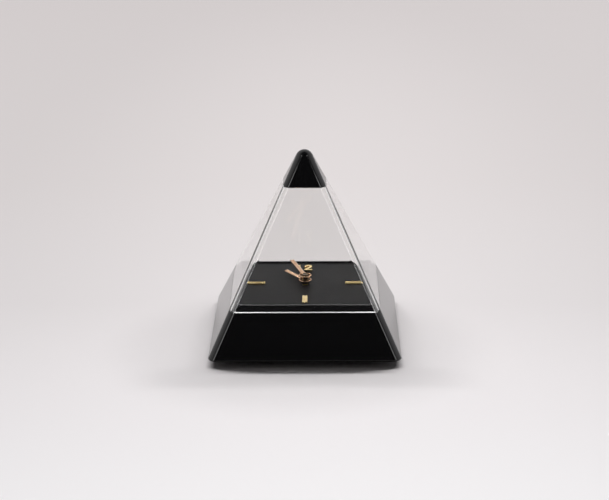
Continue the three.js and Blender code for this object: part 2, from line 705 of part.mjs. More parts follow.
// Motor: a thin plate with the rotor's hole and two arms, bridged by the coil's core
const statorTop = movementFront - magnetDepth - (MAGNET_HEIGHT - STATOR_THICKNESS) / 2;
const poleHalf = MAGNET_RADIUS + POLE_GAP + POLE_WIDTH;
const coilX = rotorPlace.x + poleHalf + COIL_RADIUS + COIL_GAP;
const statorEnd = coilX + COIL_CORE / 2 + COIL_GAP;
const motorPosts = [
  [statorEnd - BOARD_POST_RADIUS, rotorPlace.y - armOuter + BOARD_POST_RADIUS],
  [rotorPlace.x - poleHalf + BOARD_POST_RADIUS, rotorPlace.y - armOuter + BOARD_POST_RADIUS],
];

function stator() {
  const x = rotorPlace.x;
  const y = rotorPlace.y;
  const low = statorTop - STATOR_THICKNESS;
  const plate = box(x - poleHalf, statorEnd, y - armOuter, y + armOuter, low, statorTop);
  const room = box(x + poleHalf, statorEnd + 1, y - coilHalf, y + coilHalf, low - 1, statorTop + 1);
  const hole = rod(MAGNET_RADIUS + POLE_GAP, low - 1, statorTop + 1, x, y, ROUND_SIDES);
  return cut(plate, room, hole);
}

// The core lies under the arms, so that its ends bridge them
const coreTop = statorTop - STATOR_THICKNESS;
const coreZ = coreTop - COIL_CORE / 2;

function layAlongY(body, x, y, z) {
  return body.rotate([90, 0, 0]).translate([x, y, z]);
}

function coilBobbin() {
  const y = rotorPlace.y;
  const core = box(coilX - COIL_CORE / 2, coilX + COIL_CORE / 2, y - armOuter, y + armOuter,
    coreTop - COIL_CORE, coreTop);
  const flanges = [-1, 1].map((side) => {
    const middle = side * (coilHalf - COIL_FLANGE);
    const disc = rod(COIL_RADIUS, -COIL_FLANGE / 2, COIL_FLANGE / 2, 0, 0, SMALL_SIDES);
    return layAlongY(disc, coilX, y + middle, coreZ);
  });
  return join(core, ...flanges);
}

function coilWinding() {
  const half = coilHalf - COIL_FLANGE * 1.5;
  const outer = rod(WINDING_RADIUS, -half, half, 0, 0, SMALL_SIDES);
  const y = rotorPlace.y;
  const gap = COIL_CORE / 2 + TURN_GAP;
  const channel = box(coilX - gap, coilX + gap, y - coilHalf, y + coilHalf, coreZ - gap, coreZ + gap);
  return cut(layAlongY(outer, coilX, y, coreZ), channel);
}

// Board with the quartz can on it
const boardTop = movementFront - layerDepth(4);
const boardRight = innerHalf - SLIP_GAP;
const boardLeft = boardRight - BOARD_WIDTH;
const boardRear = leadY - SLIP_GAP;
const boardFront = boardRear - BOARD_LENGTH;
const boardPosts = [
  [boardLeft + BOARD_POST_INSET, boardRear - BOARD_POST_INSET],
  [boardRight - BOARD_POST_INSET, boardFront + BOARD_POST_INSET],
];

function circuitBoard() {
  const low = boardTop - BOARD_THICKNESS;
  let board = box(boardLeft, boardRight, boardFront, boardRear, low, boardTop);
  for (const [x, y] of boardPosts) {
    board = cut(board, rod(BOARD_PIN_RADIUS + TURN_GAP, low - 1, boardTop + 1, x, y, PIN_SIDES));
  }
  const chip = rod(CHIP_RADIUS, low - CHIP_THICKNESS, low + BOARD_THICKNESS / 2,
    boardLeft + CHIP_INSET, boardFront + CHIP_FRONT, PIN_SIDES);
  return join(board, chip);
}

function quartzCan() {
  const can = rod(CRYSTAL_CAN_RADIUS, 0, CRYSTAL_CAN_LENGTH, 0, 0, PIN_SIDES);
  const rear = boardFront + CRYSTAL_CAN_FRONT + CRYSTAL_CAN_LENGTH;
  const z = boardTop - BOARD_THICKNESS - CRYSTAL_CAN_RADIUS;
  return layAlongY(can, boardRight - CRYSTAL_CAN_INSET, rear, z);
}

// Cell and its contacts
const leadTop = movementFront - layerDepth(4) - BOARD_THICKNESS;
const leadBottom = leadTop - LEAD_WIDTH;

function cell() {
  const radius = CELL_DIAMETER / 2;
  const shoulder = CELL_LENGTH - CELL_NUB_LENGTH;
  const profile = [
    [0, 0], [radius - CELL_BEVEL, 0], [radius, CELL_BEVEL],
    [radius, shoulder - CELL_BEVEL], [radius - CELL_BEVEL, shoulder],
    [CELL_NUB_RADIUS, shoulder], [CELL_NUB_RADIUS, CELL_LENGTH], [0, CELL_LENGTH],
  ];
  const start = innerHalf - CONTACT_THICKNESS - CELL_LENGTH - PRESS_GAP;
  return turned(profile).rotate([0, 90, 0]).translate([start, cellY, movementFront - cellDepth]);
}

// A leaf at the far wall with a small wound spring, and a strip along the partition to the board
function negativeContact() {
  const x0 = -innerHalf + PRESS_GAP;
  const x1 = x0 + CONTACT_THICKNESS;
  const axis = movementFront - cellDepth;
  const leafFront = bayFront + SLIP_GAP;
  const leaf = box(x0, x1, leafFront, cellY + CONTACT_HALF, axis - CONTACT_HALF, axis + CONTACT_HALF);
  const entry = box(x0, x1, leadY, leafFront + 1, leadBottom, leadTop);
  const strip = box(x0, boardLeft + 1, leadY, leadY + CONTACT_THICKNESS, leadBottom, leadTop);
  return join(leaf, entry, strip, contactSpring(x1 - SPRING_WIRE / 2, axis));
}

class ConeSpring extends THREE.Curve {
  constructor(x, axis, length) {
    super();
    Object.assign(this, { x, axis, length });
  }

  getPoint(t) {
    const angle = t * SPRING_TURNS * 2 * Math.PI;
    const radius = SPRING_RADIUS * (1 - 0.4 * t);
    return new THREE.Vector3(
      this.x + t * this.length, cellY + radius * Math.cos(angle), this.axis + radius * Math.sin(angle),
    );
  }
}

function contactSpring(x, axis) {
  const length = SPRING_LENGTH - CONTACT_THICKNESS - PRESS_GAP;
  const section = new THREE.Shape();
  section.absarc(0, 0, SPRING_WIRE / 2, 0, 2 * Math.PI);
  const geometry = new THREE.ExtrudeGeometry(section, {
    steps: 12 * SPRING_TURNS, curveSegments: 3, extrudePath: new ConeSpring(x, axis, length),
  });
  return solid(geometry);
}

function positiveContact() {
  const x1 = innerHalf - PRESS_GAP / 2;
  const x0 = x1 - CONTACT_THICKNESS;
  const axis = movementFront - cellDepth;
  return box(x0, x1, bayFront + SLIP_GAP, cellY + CONTACT_HALF, axis - CONTACT_HALF, axis + CONTACT_HALF);
}

// Knob
const knobTop = movementBack - SLIP_GAP;
const knobBottom = coverUnder + KNOB_RECESS;

function setKnob() {
  const points = [];
  for (let i = 0; i < 2 * KNOB_FLUTES; i += 1) {
    const radius = i % 2 ? KNOB_RADIUS : KNOB_RADIUS - KNOB_FLUTE_DEPTH;
    const angle = (i * Math.PI) / KNOB_FLUTES;
    points.push([radius * Math.cos(angle), radius * Math.sin(angle)]);
  }
  const body = prism(polygon(points), knobBottom, knobTop).translate([knobPlace.x, knobPlace.y, 0]);
  const socket = rod(MOTION_ARBOR_RADIUS + PRESS_GAP, knobTop - KNOB_SOCKET - PRESS_GAP, knobTop + 1,
    knobPlace.x, knobPlace.y, PIN_SIDES);
  return cut(body, socket);
}

// Fixing of the movement

function hexNut() {
  const corner = NUT_ACROSS / Math.sqrt(3);
  const low = pocketFloor + WASHER_THICKNESS;
  const nut = rod(corner, low, low + NUT_HEIGHT, 0, 0, 6);
  return cut(nut, rod(BUSH_RADIUS + PRESS_GAP, low - 1, low + NUT_HEIGHT + 1, 0, 0, ROUND_SIDES));
}

function ringPlate(outer, inner, z0, z1) {
  return cut(rod(outer, z0, z1, 0, 0, ROUND_SIDES), rod(inner, z0 - 1, z1 + 1, 0, 0, ROUND_SIDES));
}

// Bottom cover

const screwUnder = coverUnder + SLIP_GAP;
const screwSeat = screwUnder + SCREW_HEAD_HEIGHT;

function screwPlaces() {
  return [[-1, -1], [1, -1], [1, 1], [-1, 1]].map(([sx, sy]) => [sx * screwX, sy * SCREW_Y]);
}

function footPlaces() {
  return [[-1, -1], [1, -1], [1, 1], [-1, 1]].map(([sx, sy]) => [sx * footPlace, sy * footPlace]);
}

function screwTip() {
  return screwSeat + SCREW_LENGTH;
}

const openingHalfX = innerHalf - SLIP_GAP;
const openingFront = bayFront + SLIP_GAP;
const openingRear = innerRear - SLIP_GAP;
const doorHalf = openingHalfX + DOOR_MARGIN;
const doorFront = openingFront - DOOR_MARGIN;
const doorTop = coverUnder + DOOR_THICKNESS;
const channelTop = doorTop + RAIL_GAP;
const roofTop = channelTop + COVER_SKIN;
const chuteTop = movementBack - SLIP_GAP;

// Section of the door across its slide: a plate with a tongue along each side, wider by a gap
function doorSection(gap) {
  const w = doorHalf + gap;
  const t = doorHalf + DOOR_TONGUE + gap;
  const lip = doorTop - DOOR_TONGUE_THICKNESS - gap;
  const low = coverUnder - (gap > 0 ? 1 : 0);
  const top = doorTop + gap;
  return polygon([[-w, low], [w, low], [w, lip], [t, lip], [t, top], [-t, top], [-t, lip], [-w, lip]]);
}

function alongY(shape, y0, y1) {
  const geometry = new THREE.ExtrudeGeometry(shape, { depth: y1 - y0, bevelEnabled: false });
  geometry.rotateX(Math.PI / 2);
  geometry.translate(0, y1, 0);
  return solid(geometry);
}

function bottomCover() {
  const half = coverHalf;
  const rimInset = HOUSING_WALL + SLIP_GAP;
  const rim = loft([pyramidRing(rimUnder, rimInset), pyramidRing(rimTop, rimInset)]);
  const platform = roundedPlate(half, COVER_CORNER_RADIUS, coverUnder, rimTop);
  const pan = roundedPlate(half - COVER_SKIN, COVER_CORNER_RADIUS - COVER_SKIN, skinTop, rimTop + 1);
  const roofHalf = doorHalf + DOOR_TONGUE + COVER_SKIN;
  const roof = box(-roofHalf, roofHalf, doorFront - COVER_SKIN, half - 1, skinTop - 0.5, roofTop);
  const well = (radius, z0, z1) => rod(radius, z0, z1, knobPlace.x, knobPlace.y, ROUND_SIDES);
  const wellOuter = well(KNOB_WELL_RADIUS + KNOB_WELL_WALL, skinTop - 0.5, chuteTop);
  const chute = (wall, z0, z1) => box(
    -openingHalfX - wall, openingHalfX + wall, openingFront - wall, openingRear + wall, z0, z1,
  );
  const chuteOuter = chute(CHUTE_WALL, roofTop - 0.5, chuteTop);
  let cover = cut(
    join(cut(join(rim, platform), pan), roof, wellOuter, chuteOuter),
    alongY(doorSection(RAIL_GAP), doorFront - RAIL_GAP, half + COVER_SKIN),
    chute(0, coverUnder - 1, chuteTop + 1),
    well(KNOB_WELL_RADIUS, coverUnder - 1, chuteTop + 1),
  );
  for (const [x, y] of screwPlaces()) {
    cover = join(cover, rod(SCREW_POST_RADIUS + 1, skinTop - 0.5, rimTop, x, y));
    cover = cut(cover, rod(SCREW_HEAD_RADIUS + SLIP_GAP, coverUnder - 1, screwSeat, x, y));
    cover = cut(cover, rod(SCREW_RADIUS + PRESS_GAP, coverUnder - 1, rimTop + 1, x, y));
  }
  for (const [x, y] of footPlaces()) {
    cover = cut(cover, rod(FOOT_RADIUS + TURN_GAP, coverUnder - 1, coverUnder + FOOT_RECESS, x, y));
  }
  return cover;
}

function batteryDoor() {
  let door = alongY(doorSection(0), doorFront, coverHalf - SLIP_GAP);
  const grooveTop = coverUnder + DOOR_RIB_DEPTH;
  const quarter = DOOR_RIB_PITCH / 4;
  for (let i = 0; i < DOOR_RIB_COUNT; i += 1) {
    const y = coverHalf - DOOR_GRIP_INSET - i * DOOR_RIB_PITCH;
    door = cut(door, box(-DOOR_RIB_HALF, DOOR_RIB_HALF, y - quarter, y + quarter, coverUnder - 1, grooveTop));
  }
  return door;
}

function foot(x, y) {
  const top = FOOT_STANDOUT + FOOT_RECESS;
  const profile = [
    [0, 0], [FOOT_RADIUS - FOOT_BEVEL, 0], [FOOT_RADIUS, FOOT_BEVEL], [FOOT_RADIUS, top], [0, top],
  ];
  return turned(profile, SMALL_SIDES).translate([x, y, 0]);
}

function coverScrew(x, y) {
  const head = rod(SCREW_HEAD_RADIUS, screwUnder, screwSeat);
  const shank = rod(SCREW_RADIUS, screwSeat - 0.2, screwTip(), 0, 0, PIN_SIDES);
  const slotDepth = screwUnder + SCREW_CROSS_DEPTH;
  const long = SCREW_CROSS_LENGTH / 2;
  const across = SCREW_CROSS_WIDTH / 2;
  const slotX = box(-long, long, -across, across, screwUnder - 1, slotDepth);
  const slotY = box(-across, across, -long, long, screwUnder - 1, slotDepth);
  return cut(join(head, shank), slotX, slotY).translate([x, y, 0]);
}

// Assembly

addPiece('base_housing', baseHousing(), glossBlack());
addPiece('crystal_shell', crystalShell(), clearPlastic());
addPiece('apex_cap', apexCap(), glossBlack());
addPiece('dial_tray', dialTray(), glossBlack());
addPiece('dial_plate', dialPlate(), satinDial());
for (const [hour, gap] of [[3, MARKER_RIM_GAP], [6, MARKER_SIX_RIM_GAP], [9, MARKER_RIM_GAP]]) {
  addPiece(`marker_${hour}`, marker(hour, gap), gold());
}

const figures = new THREE.Group();
const figuresWidth = FIGURE_ONE_WIDTH + FIGURE_GAP + FIGURE_WIDTH;
const figuresLow = recessHalf - FIGURE_RIM_GAP - FIGURE_HEIGHT;
figures.position.set(FIGURES_SHIFT - figuresWidth / 2, figuresLow, dialTop);
clock.add(figures);
const figureOnePiece = addPiece('figure_1', figureOne(), gold(), figures);
figureOnePiece.position.x = FIGURE_ONE_WIDTH - FIGURE_STROKE;
const figureTwoPiece = addPiece('figure_2', figureTwo(), gold(), figures);
figureTwoPiece.position.x = FIGURE_ONE_WIDTH + FIGURE_GAP;

const hourBore = hourPipeRadius + PRESS_GAP;
const minuteBore = MINUTE_ARBOR_RADIUS + PRESS_GAP;
const hourHand = addPiece('hour_hand',
  hand(HOUR_HAND_LENGTH, hourBore, HOUR_COLLET_DROP, HAND_THICKNESS), roseGold());
hourHand.position.z = hourHandUnder;
hourHand.rotation.z = THREE.MathUtils.degToRad(hourAngle);
const minuteHand = addPiece('minute_hand',
  hand(MINUTE_HAND_LENGTH, minuteBore, MINUTE_COLLET_DROP, HAND_THICKNESS), roseGold());
minuteHand.position.z = minuteHandUnder;
minuteHand.rotation.z = THREE.MathUtils.degToRad(minuteAngle);

addPiece('movement_case', movementCase(), mattBlack());
addPiece('movement_lid', movementLid(), mattBlack());
addPiece('hex_nut', hexNut(), brass());
addPiece('washer', ringPlate(WASHER_RADIUS, BUSH_RADIUS + SLIP_GAP, pocketFloor,
  pocketFloor + WASHER_THICKNESS), steel());
addPiece('gasket', ringPlate(GASKET_RADIUS, BUSH_RADIUS + SLIP_GAP, movementFront, pocketUnder), rubber());

addPiece('minute_arbor', minuteArbor(), brass());
addPiece('hour_wheel', hourWheel(), brass());
addPiece('motion_wheel', motionWheel(), nylon());
addPiece('centre_wheel', centreWheel(), brass());
addPiece('third_wheel', trainWheel(thirdPlace, 3, TOOTH_COUNT.third, secondsPlace.angle,
  TOOTH_COUNT.thirdPinion, CENTRE_MODULE), nylon());
addPiece('seconds_wheel', trainWheel(secondsPlace, 4, TOOTH_COUNT.seconds, stepPlace.angle,
  TOOTH_COUNT.secondsPinion), nylon());
addPiece('step_wheel', trainWheel(stepPlace, 5, TOOTH_COUNT.step, rotorPlace.angle,
  TOOTH_COUNT.stepPinion), nylon());
addPiece('rotor', rotor(), magnetGrey());
addPiece('stator', stator(), steel());
addPiece('coil_bobbin', coilBobbin(), nylon());
addPiece('coil_winding', coilWinding(), copper());
addPiece('circuit_board', circuitBoard(), boardGreen());
addPiece('quartz_can', quartzCan(), steel());
addPiece('battery_cell', cell(), cellWrap());
addPiece('negative_contact', negativeContact(), steel());
addPiece('positive_contact', positiveContact(), steel());

addPiece('time_set_knob', setKnob(), mattBlack());
addPiece('bottom_cover', bottomCover(), mattBlack());
addPiece('battery_door', batteryDoor(), mattBlack());
footPlaces().forEach(([x, y], i) => addPiece(`foot_${i + 1}`, foot(x, y), rubber()));
screwPlaces().forEach(([x, y], i) => addPiece(`cover_screw_${i + 1}`, coverScrew(x, y), steel()));

export default clock;
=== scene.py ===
# %% [markdown]
# # A pyramid table clock, dressed for the camera
# The clock is a square pyramid: a black base, a clear shell over a dark dial, and a black tip. The solid
# model already says how big every piece is and how it moves. This script gives the pieces their looks. We
# start by loading the solid model, because each new surface is built around it and rides on its bodies.

# %% Load the solid model
import json
import math

import bmesh
import bpy
import numpy as np
from mathutils import Matrix, Vector


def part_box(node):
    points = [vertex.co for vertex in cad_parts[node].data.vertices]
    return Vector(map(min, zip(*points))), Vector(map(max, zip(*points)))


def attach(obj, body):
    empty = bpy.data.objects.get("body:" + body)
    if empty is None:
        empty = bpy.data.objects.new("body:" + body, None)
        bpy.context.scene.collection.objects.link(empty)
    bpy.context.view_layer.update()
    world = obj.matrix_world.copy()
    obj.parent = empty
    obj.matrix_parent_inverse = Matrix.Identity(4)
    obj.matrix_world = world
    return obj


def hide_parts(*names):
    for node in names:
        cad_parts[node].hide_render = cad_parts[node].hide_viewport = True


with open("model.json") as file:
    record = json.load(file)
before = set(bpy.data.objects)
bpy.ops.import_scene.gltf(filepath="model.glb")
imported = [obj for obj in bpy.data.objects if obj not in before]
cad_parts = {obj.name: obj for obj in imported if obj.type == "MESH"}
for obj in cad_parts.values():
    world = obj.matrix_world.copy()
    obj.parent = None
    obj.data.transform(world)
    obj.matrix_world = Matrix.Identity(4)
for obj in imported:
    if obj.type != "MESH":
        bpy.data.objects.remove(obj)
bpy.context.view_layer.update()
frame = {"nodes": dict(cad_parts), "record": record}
NODES = frame["nodes"]
MM = 0.001

# %% [markdown]
# ## Sizes
# The sizes are those of the solid model, in millimetres, with the table at zero. Heights are read from
# the solids' own boxes. Every outer face of the base, the shell and the tip lies on one pyramid, so one
# function gives its half width at any height. A learner could type each width by hand instead, but then
# the three pieces would soon stop lining up.

# %% Sizes of the pyramid
BASE_SIDE, APEX_HEIGHT = 130.0, 136.8
EDGE_RADIUS, LOWER_BEVEL = 5.5, 0.9
HOUSING_WALL, DECK_THICKNESS = 2.6, 2.2
POCKET_DEPTH, POCKET_RADIUS, BUSH_HOLE = 4.0, 10.5, 4.3
SHELL_WALL, SHELL_BEVEL = 1.7, 0.2
NECK_HEIGHT, NECK_PLAY, HOLLOW_PLAY, CAP_SKIRT = 4.0, 0.1, 0.3, 0.8
NEAR = 0.02


def bottom_of(node):
    """Height of a solid's lowest point, in millimetres."""
    return round(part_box(node)[0].z / MM, 3)


def top_of(node):
    """Height of a solid's highest point, in millimetres."""
    return round(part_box(node)[1].z / MM, 3)


TABLE_GAP, DECK_TOP, CAP_BOTTOM = bottom_of("base_housing"), top_of("base_housing"), bottom_of("apex_cap")
print("the gap under the base, the deck and the tip are at", TABLE_GAP, DECK_TOP, CAP_BOTTOM)


def half_at(z):
    """Half width of the pyramid at height z: it falls evenly from half the base side to nothing at the
    apex."""
    return BASE_SIDE / 2 * (1 - (z - TABLE_GAP) / APEX_HEIGHT)


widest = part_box("base_housing")[1].x / MM
bevel_half = half_at(TABLE_GAP + LOWER_BEVEL)
print("half width over the lower bevel", round(bevel_half, 3), "in the solid", round(widest, 3))

# %% [markdown]
# ## Rounded profiles
# No moulded or machined piece has a truly sharp edge. A small round catches a thin line of light, and
# that line is what makes an edge look real. So every profile is drawn with plain corners first, and one
# function then swaps each corner for a short arc. A Bevel modifier could do it too, but here we know the
# arcs exactly.

# %% Corners made into arcs
ARC_STEPS = 4


def rounded(points, radii, closed=True, steps=ARC_STEPS):
    """Each corner of a flat outline becomes an arc. The arc's centre lies on the line that halves the
    corner, the radius over the sine of half the angle away. The arc turns from the first side's tangent
    point to the second's, as a weighted sum of the two spokes by sines. An open outline keeps its two end
    points."""
    p = np.asarray(points, float)
    r = np.broadcast_to(np.asarray(radii, float), len(p))
    before, after = np.roll(p, 1, 0) - p, np.roll(p, -1, 0) - p
    u = before / np.linalg.norm(before, axis=1, keepdims=True)
    v = after / np.linalg.norm(after, axis=1, keepdims=True)
    half = np.arccos(np.clip((u * v).sum(1), -0.9999, 0.9999)) / 2
    middle = u + v
    middle /= np.maximum(np.linalg.norm(middle, axis=1, keepdims=True), 1e-9)
    centre = p + middle * (r / np.sin(half))[:, None]
    reach = (r / np.tan(half))[:, None]
    first, last = p + u * reach - centre, p + v * reach - centre
    turn = (np.pi - 2 * half)[:, None, None]
    t = np.linspace(0, 1, steps + 1)[None, :, None]
    arc = (np.sin((1 - t) * turn) * first[:, None] + np.sin(t * turn) * last[:, None]) / np.sin(turn)
    arc = arc + centre[:, None]
    if closed:
        return arc.reshape(-1, 2)
    return np.concatenate([p[:1], arc[1:-1].reshape(-1, 2), p[-1:]])


print("a square with round corners has", len(rounded([(0, 0), (1, 0), (1, 1), (0, 1)], 0.1)), "points")

# %% [markdown]
# ## Square rings stacked into a skin
# The base, the shell, the tip, the tray and the dial are all the same idea: a ring shaped as a square
# with round corners, carried along a profile that says how wide the ring is at each height. We also work
# out the normals from the same numbers. If Blender averaged them, the large flat faces would shade as if
# they were bent near the round corners, and a glossy black face would give that away at once.

# %% Rings along a profile
CORNER_STEPS = 14
ALMOST_ROUND, SMALLEST_CORNER = 0.97, 0.02


def square_rings(profile, closed=True):
    """Rings for a profile of rows (half width, corner radius, height, edge round). The rows are rounded
    in the plane of half width and height, and the corner radius changes with the half width near each
    row. A ring's corner is a quarter circle of the corner radius, whose middle lies that radius inside
    both sides."""
    rows = np.array(profile, float)
    flat = rounded(rows[:, [0, 2]], rows[:, 3], closed)
    each = ARC_STEPS + 1
    if closed:
        owner = np.repeat(np.arange(len(rows)), each)
    else:
        owner = np.concatenate([[0], np.repeat(np.arange(1, len(rows) - 1), each), [len(rows) - 1]])
    half, z = flat[:, 0], flat[:, 1]
    corner = np.maximum(rows[owner, 1] + half - rows[owner, 0], SMALLEST_CORNER)
    corner = np.minimum(corner, ALMOST_ROUND * half)
    quarter = np.repeat(np.arange(4) * 90.0, CORNER_STEPS + 1)
    angle = np.radians(quarter + np.tile(np.linspace(0, 90, CORNER_STEPS + 1), 4))
    side_x, side_y = np.sign(np.cos(np.radians(quarter + 45))), np.sign(np.sin(np.radians(quarter + 45)))
    x = side_x * (half - corner)[:, None] + corner[:, None] * np.cos(angle)
    y = side_y * (half - corner)[:, None] + corner[:, None] * np.sin(angle)
    return np.stack([x, y, np.broadcast_to(z[:, None], x.shape)], -1), angle


def ring_normals(rings, angle, closed):
    """The normal of a band is the direction round the ring crossed with the direction along the profile.
    Where two bands meet, each counts by the square of its length, so a wide flat face keeps its own
    normal."""
    along = (np.roll(rings, -1, 0) - rings) if closed else np.diff(rings, axis=0)
    around = np.stack([-np.sin(angle), np.cos(angle), np.zeros_like(angle)], -1)
    length = np.linalg.norm(along, axis=2, keepdims=True)
    band = np.cross(around[None], along)
    band = band / np.maximum(np.linalg.norm(band, axis=2, keepdims=True), 1e-9) * length**2
    if closed:
        normals = band + np.roll(band, 1, 0)
    else:
        normals = np.concatenate([band[:1], band[1:] + band[:-1], band[-1:]])
    return normals / np.maximum(np.linalg.norm(normals, axis=2, keepdims=True), 1e-12)


print("a ring has", 4 * (CORNER_STEPS + 1), "points")


# %% Rings made into objects
def strip_faces(rows, columns, closed):
    """Quads between neighbouring rings of a grid, numbered row by row, plus one face over each open
    end."""
    r = np.arange(rows if closed else rows - 1)[:, None]
    c = np.arange(columns)[None, :]
    up, side = (r + 1) % rows, (c + 1) % columns
    quads = np.stack([r * columns + c, r * columns + side, up * columns + side, up * columns + c], -1)
    faces = quads.reshape(-1, 4).tolist()
    if not closed:
        faces.append(list(range(columns))[::-1])
        faces.append([(rows - 1) * columns + i for i in range(columns)])
    return faces


def new_object(name, points, faces):
    """An object at the origin whose mesh holds the points, given in millimetres."""
    mesh = bpy.data.meshes.new(name)
    mesh.from_pydata((np.asarray(points, float).reshape(-1, 3) * MM).tolist(), [], faces)
    mesh.update()
    obj = bpy.data.objects.new(name, mesh)
    bpy.context.scene.collection.objects.link(obj)
    return obj


def ring_piece(name, profile, closed=True):
    """A smooth skin through the rings of a profile, with the normals worked out above."""
    rings, angle = square_rings(profile, closed)
    normals = ring_normals(rings, angle, closed)
    obj = new_object(name, rings, strip_faces(len(rings), rings.shape[1], closed))
    obj.data.shade_smooth()
    obj.data.normals_split_custom_set_from_vertices(normals.reshape(-1, 3).tolist())
    print(name, len(obj.data.polygons), "faces")
    return obj


print("a band between two rings has", len(strip_faces(2, 4 * (CORNER_STEPS + 1), False)) - 2, "faces")

# %% [markdown]
# ## Base housing
# The base is one black moulding: four sloping walls, a flat deck for the dial, and a round pocket for the
# nut that holds the movement. Its lower edge is rounded, and that edge shows as a faint light line just
# above the shadow. The profile runs up the outside, over the deck, down into the pocket and back along
# the inside.

# %% Build the base housing
deck_under = DECK_TOP - DECK_THICKNESS
pocket_floor = DECK_TOP - POCKET_DEPTH
pocket_under = pocket_floor - DECK_THICKNESS
pocket_outer = POCKET_RADIUS + DECK_THICKNESS
inside_corner = EDGE_RADIUS - HOUSING_WALL
housing = ring_piece("housing_moulding", [
    (half_at(TABLE_GAP) - LOWER_BEVEL, EDGE_RADIUS, TABLE_GAP, 0.25),
    (half_at(TABLE_GAP + LOWER_BEVEL), EDGE_RADIUS, TABLE_GAP + LOWER_BEVEL, 0.7),
    (half_at(DECK_TOP), EDGE_RADIUS, DECK_TOP, 0.12),
    (POCKET_RADIUS, POCKET_RADIUS, DECK_TOP, 0.1),
    (POCKET_RADIUS, POCKET_RADIUS, pocket_floor, 0.1),
    (BUSH_HOLE, BUSH_HOLE, pocket_floor, 0.1),
    (BUSH_HOLE, BUSH_HOLE, pocket_under, 0.1),
    (pocket_outer, pocket_outer, pocket_under, 0.1),
    (pocket_outer, pocket_outer, deck_under, 0.1),
    (half_at(deck_under) - HOUSING_WALL, inside_corner, deck_under, 0.3),
    (half_at(TABLE_GAP) - HOUSING_WALL, inside_corner, TABLE_GAP, 0.15),
])

# %% [markdown]
# ## Clear shell
# The shell is a four-sided hood of clear acrylic, under two millimetres thick, with rounded corners. The
# wall's thickness decides how wide the stripes along the corners are, so it was found by trying several.
# The shell stands on the deck, and a thinner neck reaches up inside the black tip. Its looks come almost
# wholly from refraction, so it needs a real wall with an outer and an inner face. The wall ends a hair
# above the deck: two faces in exactly the same place would fight over each ray of light.

# %% Build the clear shell
neck_top = CAP_BOTTOM + NECK_HEIGHT
neck_inset = CAP_SKIRT + NECK_PLAY
shell_corner = EDGE_RADIUS - SHELL_WALL
shell_foot = DECK_TOP + NEAR
shell = ring_piece("shell_moulding", [
    (half_at(DECK_TOP) - SHELL_BEVEL, EDGE_RADIUS, shell_foot, 0.05),
    (half_at(DECK_TOP + SHELL_BEVEL), EDGE_RADIUS, DECK_TOP + SHELL_BEVEL, 0.1),
    (half_at(CAP_BOTTOM), EDGE_RADIUS, CAP_BOTTOM - NEAR, 0.1),
    (half_at(CAP_BOTTOM) - neck_inset, EDGE_RADIUS - neck_inset, CAP_BOTTOM - NEAR, 0.1),
    (half_at(neck_top) - neck_inset, EDGE_RADIUS - neck_inset, neck_top, 0.1),
    (half_at(neck_top) - SHELL_WALL, shell_corner, neck_top, 0.1),
    (half_at(DECK_TOP) - SHELL_WALL, shell_corner, shell_foot, 0.05),
])

# %% [markdown]
# ## Black tip
# The tip carries the pyramid on to a blunt end. The corner rounds keep their radius all the way up, so
# there is a height where the square has become a circle, and from there a ball of fitting size closes the
# tip. Inside is a hollow for the neck of the shell. The profile starts at the hollow's ceiling and ends
# at the top.

# %% Build the tip
ball_start = TABLE_GAP + APEX_HEIGHT * (1 - 2 * EDGE_RADIUS / BASE_SIDE)
face_angle = math.atan2(APEX_HEIGHT, BASE_SIDE / 2)
ball = EDGE_RADIUS / math.sin(face_angle)
hollow_top = neck_top + HOLLOW_PLAY
TIP_RINGS, LAST_RING, TOP_SHY, TINY_ROUND = 9, math.radians(89), 0.005, 0.004


def ball_rows():
    """Rows up a ball: the radius goes with the cosine of the angle above its middle, the height with the
    sine. The height is scaled by a hair, so that the top stays at the height of the faceted solid."""
    angle = np.linspace(math.pi / 2 - face_angle, LAST_RING, TIP_RINGS)[1:]
    radius = ball * np.cos(angle)
    rise = np.sin(angle) - math.cos(face_angle)
    height = ball_start + rise / rise[-1] * (top_of("apex_cap") - ball_start - TOP_SHY)
    return [(r, r, z, TINY_ROUND) for r, z in zip(radius, height)]


tip = ring_piece("tip_moulding", [
    (0.1, 0.1, hollow_top, 0.0),
    (half_at(hollow_top) - CAP_SKIRT, EDGE_RADIUS - CAP_SKIRT, hollow_top, 0.1),
    (half_at(CAP_BOTTOM) - CAP_SKIRT, EDGE_RADIUS - CAP_SKIRT, CAP_BOTTOM, 0.1),
    (half_at(CAP_BOTTOM), EDGE_RADIUS, CAP_BOTTOM, 0.25),
    (EDGE_RADIUS, EDGE_RADIUS, ball_start, TINY_ROUND),
    *ball_rows(),
], closed=False)

# %% [markdown]
# ## Tray and dial
# Inside the shell lies a shallow black tray with a raised rim, and the satin dial is sunk into it. The
# rim's inner face throws a narrow dark band along the rear of the dial. Both are rings again, round a
# hole for the hands' shafts.

# %% Build the tray and the dial
TRAY_INSET, TRAY_RIM = 3.6, 1.7
DIAL_GAP, DIAL_CORNER, DIAL_HOLE = 0.3, 2.0, 2.5
TRAY_TOP, TRAY_FLOOR, DIAL_TOP = top_of("dial_tray"), bottom_of("dial_plate"), top_of("dial_plate")
recess_half = half_at(TRAY_TOP) - TRAY_INSET - TRAY_RIM
tray_corner = EDGE_RADIUS - TRAY_INSET
tray = ring_piece("tray_moulding", [
    (half_at(DECK_TOP) - TRAY_INSET, tray_corner, DECK_TOP + NEAR, 0.1),
    (half_at(TRAY_TOP) - TRAY_INSET, tray_corner, TRAY_TOP, 0.2),
    (recess_half, DIAL_CORNER, TRAY_TOP, 0.15),
    (recess_half, DIAL_CORNER, TRAY_FLOOR, 0.1),
    (BUSH_HOLE, BUSH_HOLE, TRAY_FLOOR, 0.1),
    (BUSH_HOLE, BUSH_HOLE, DECK_TOP + NEAR, 0.1),
])
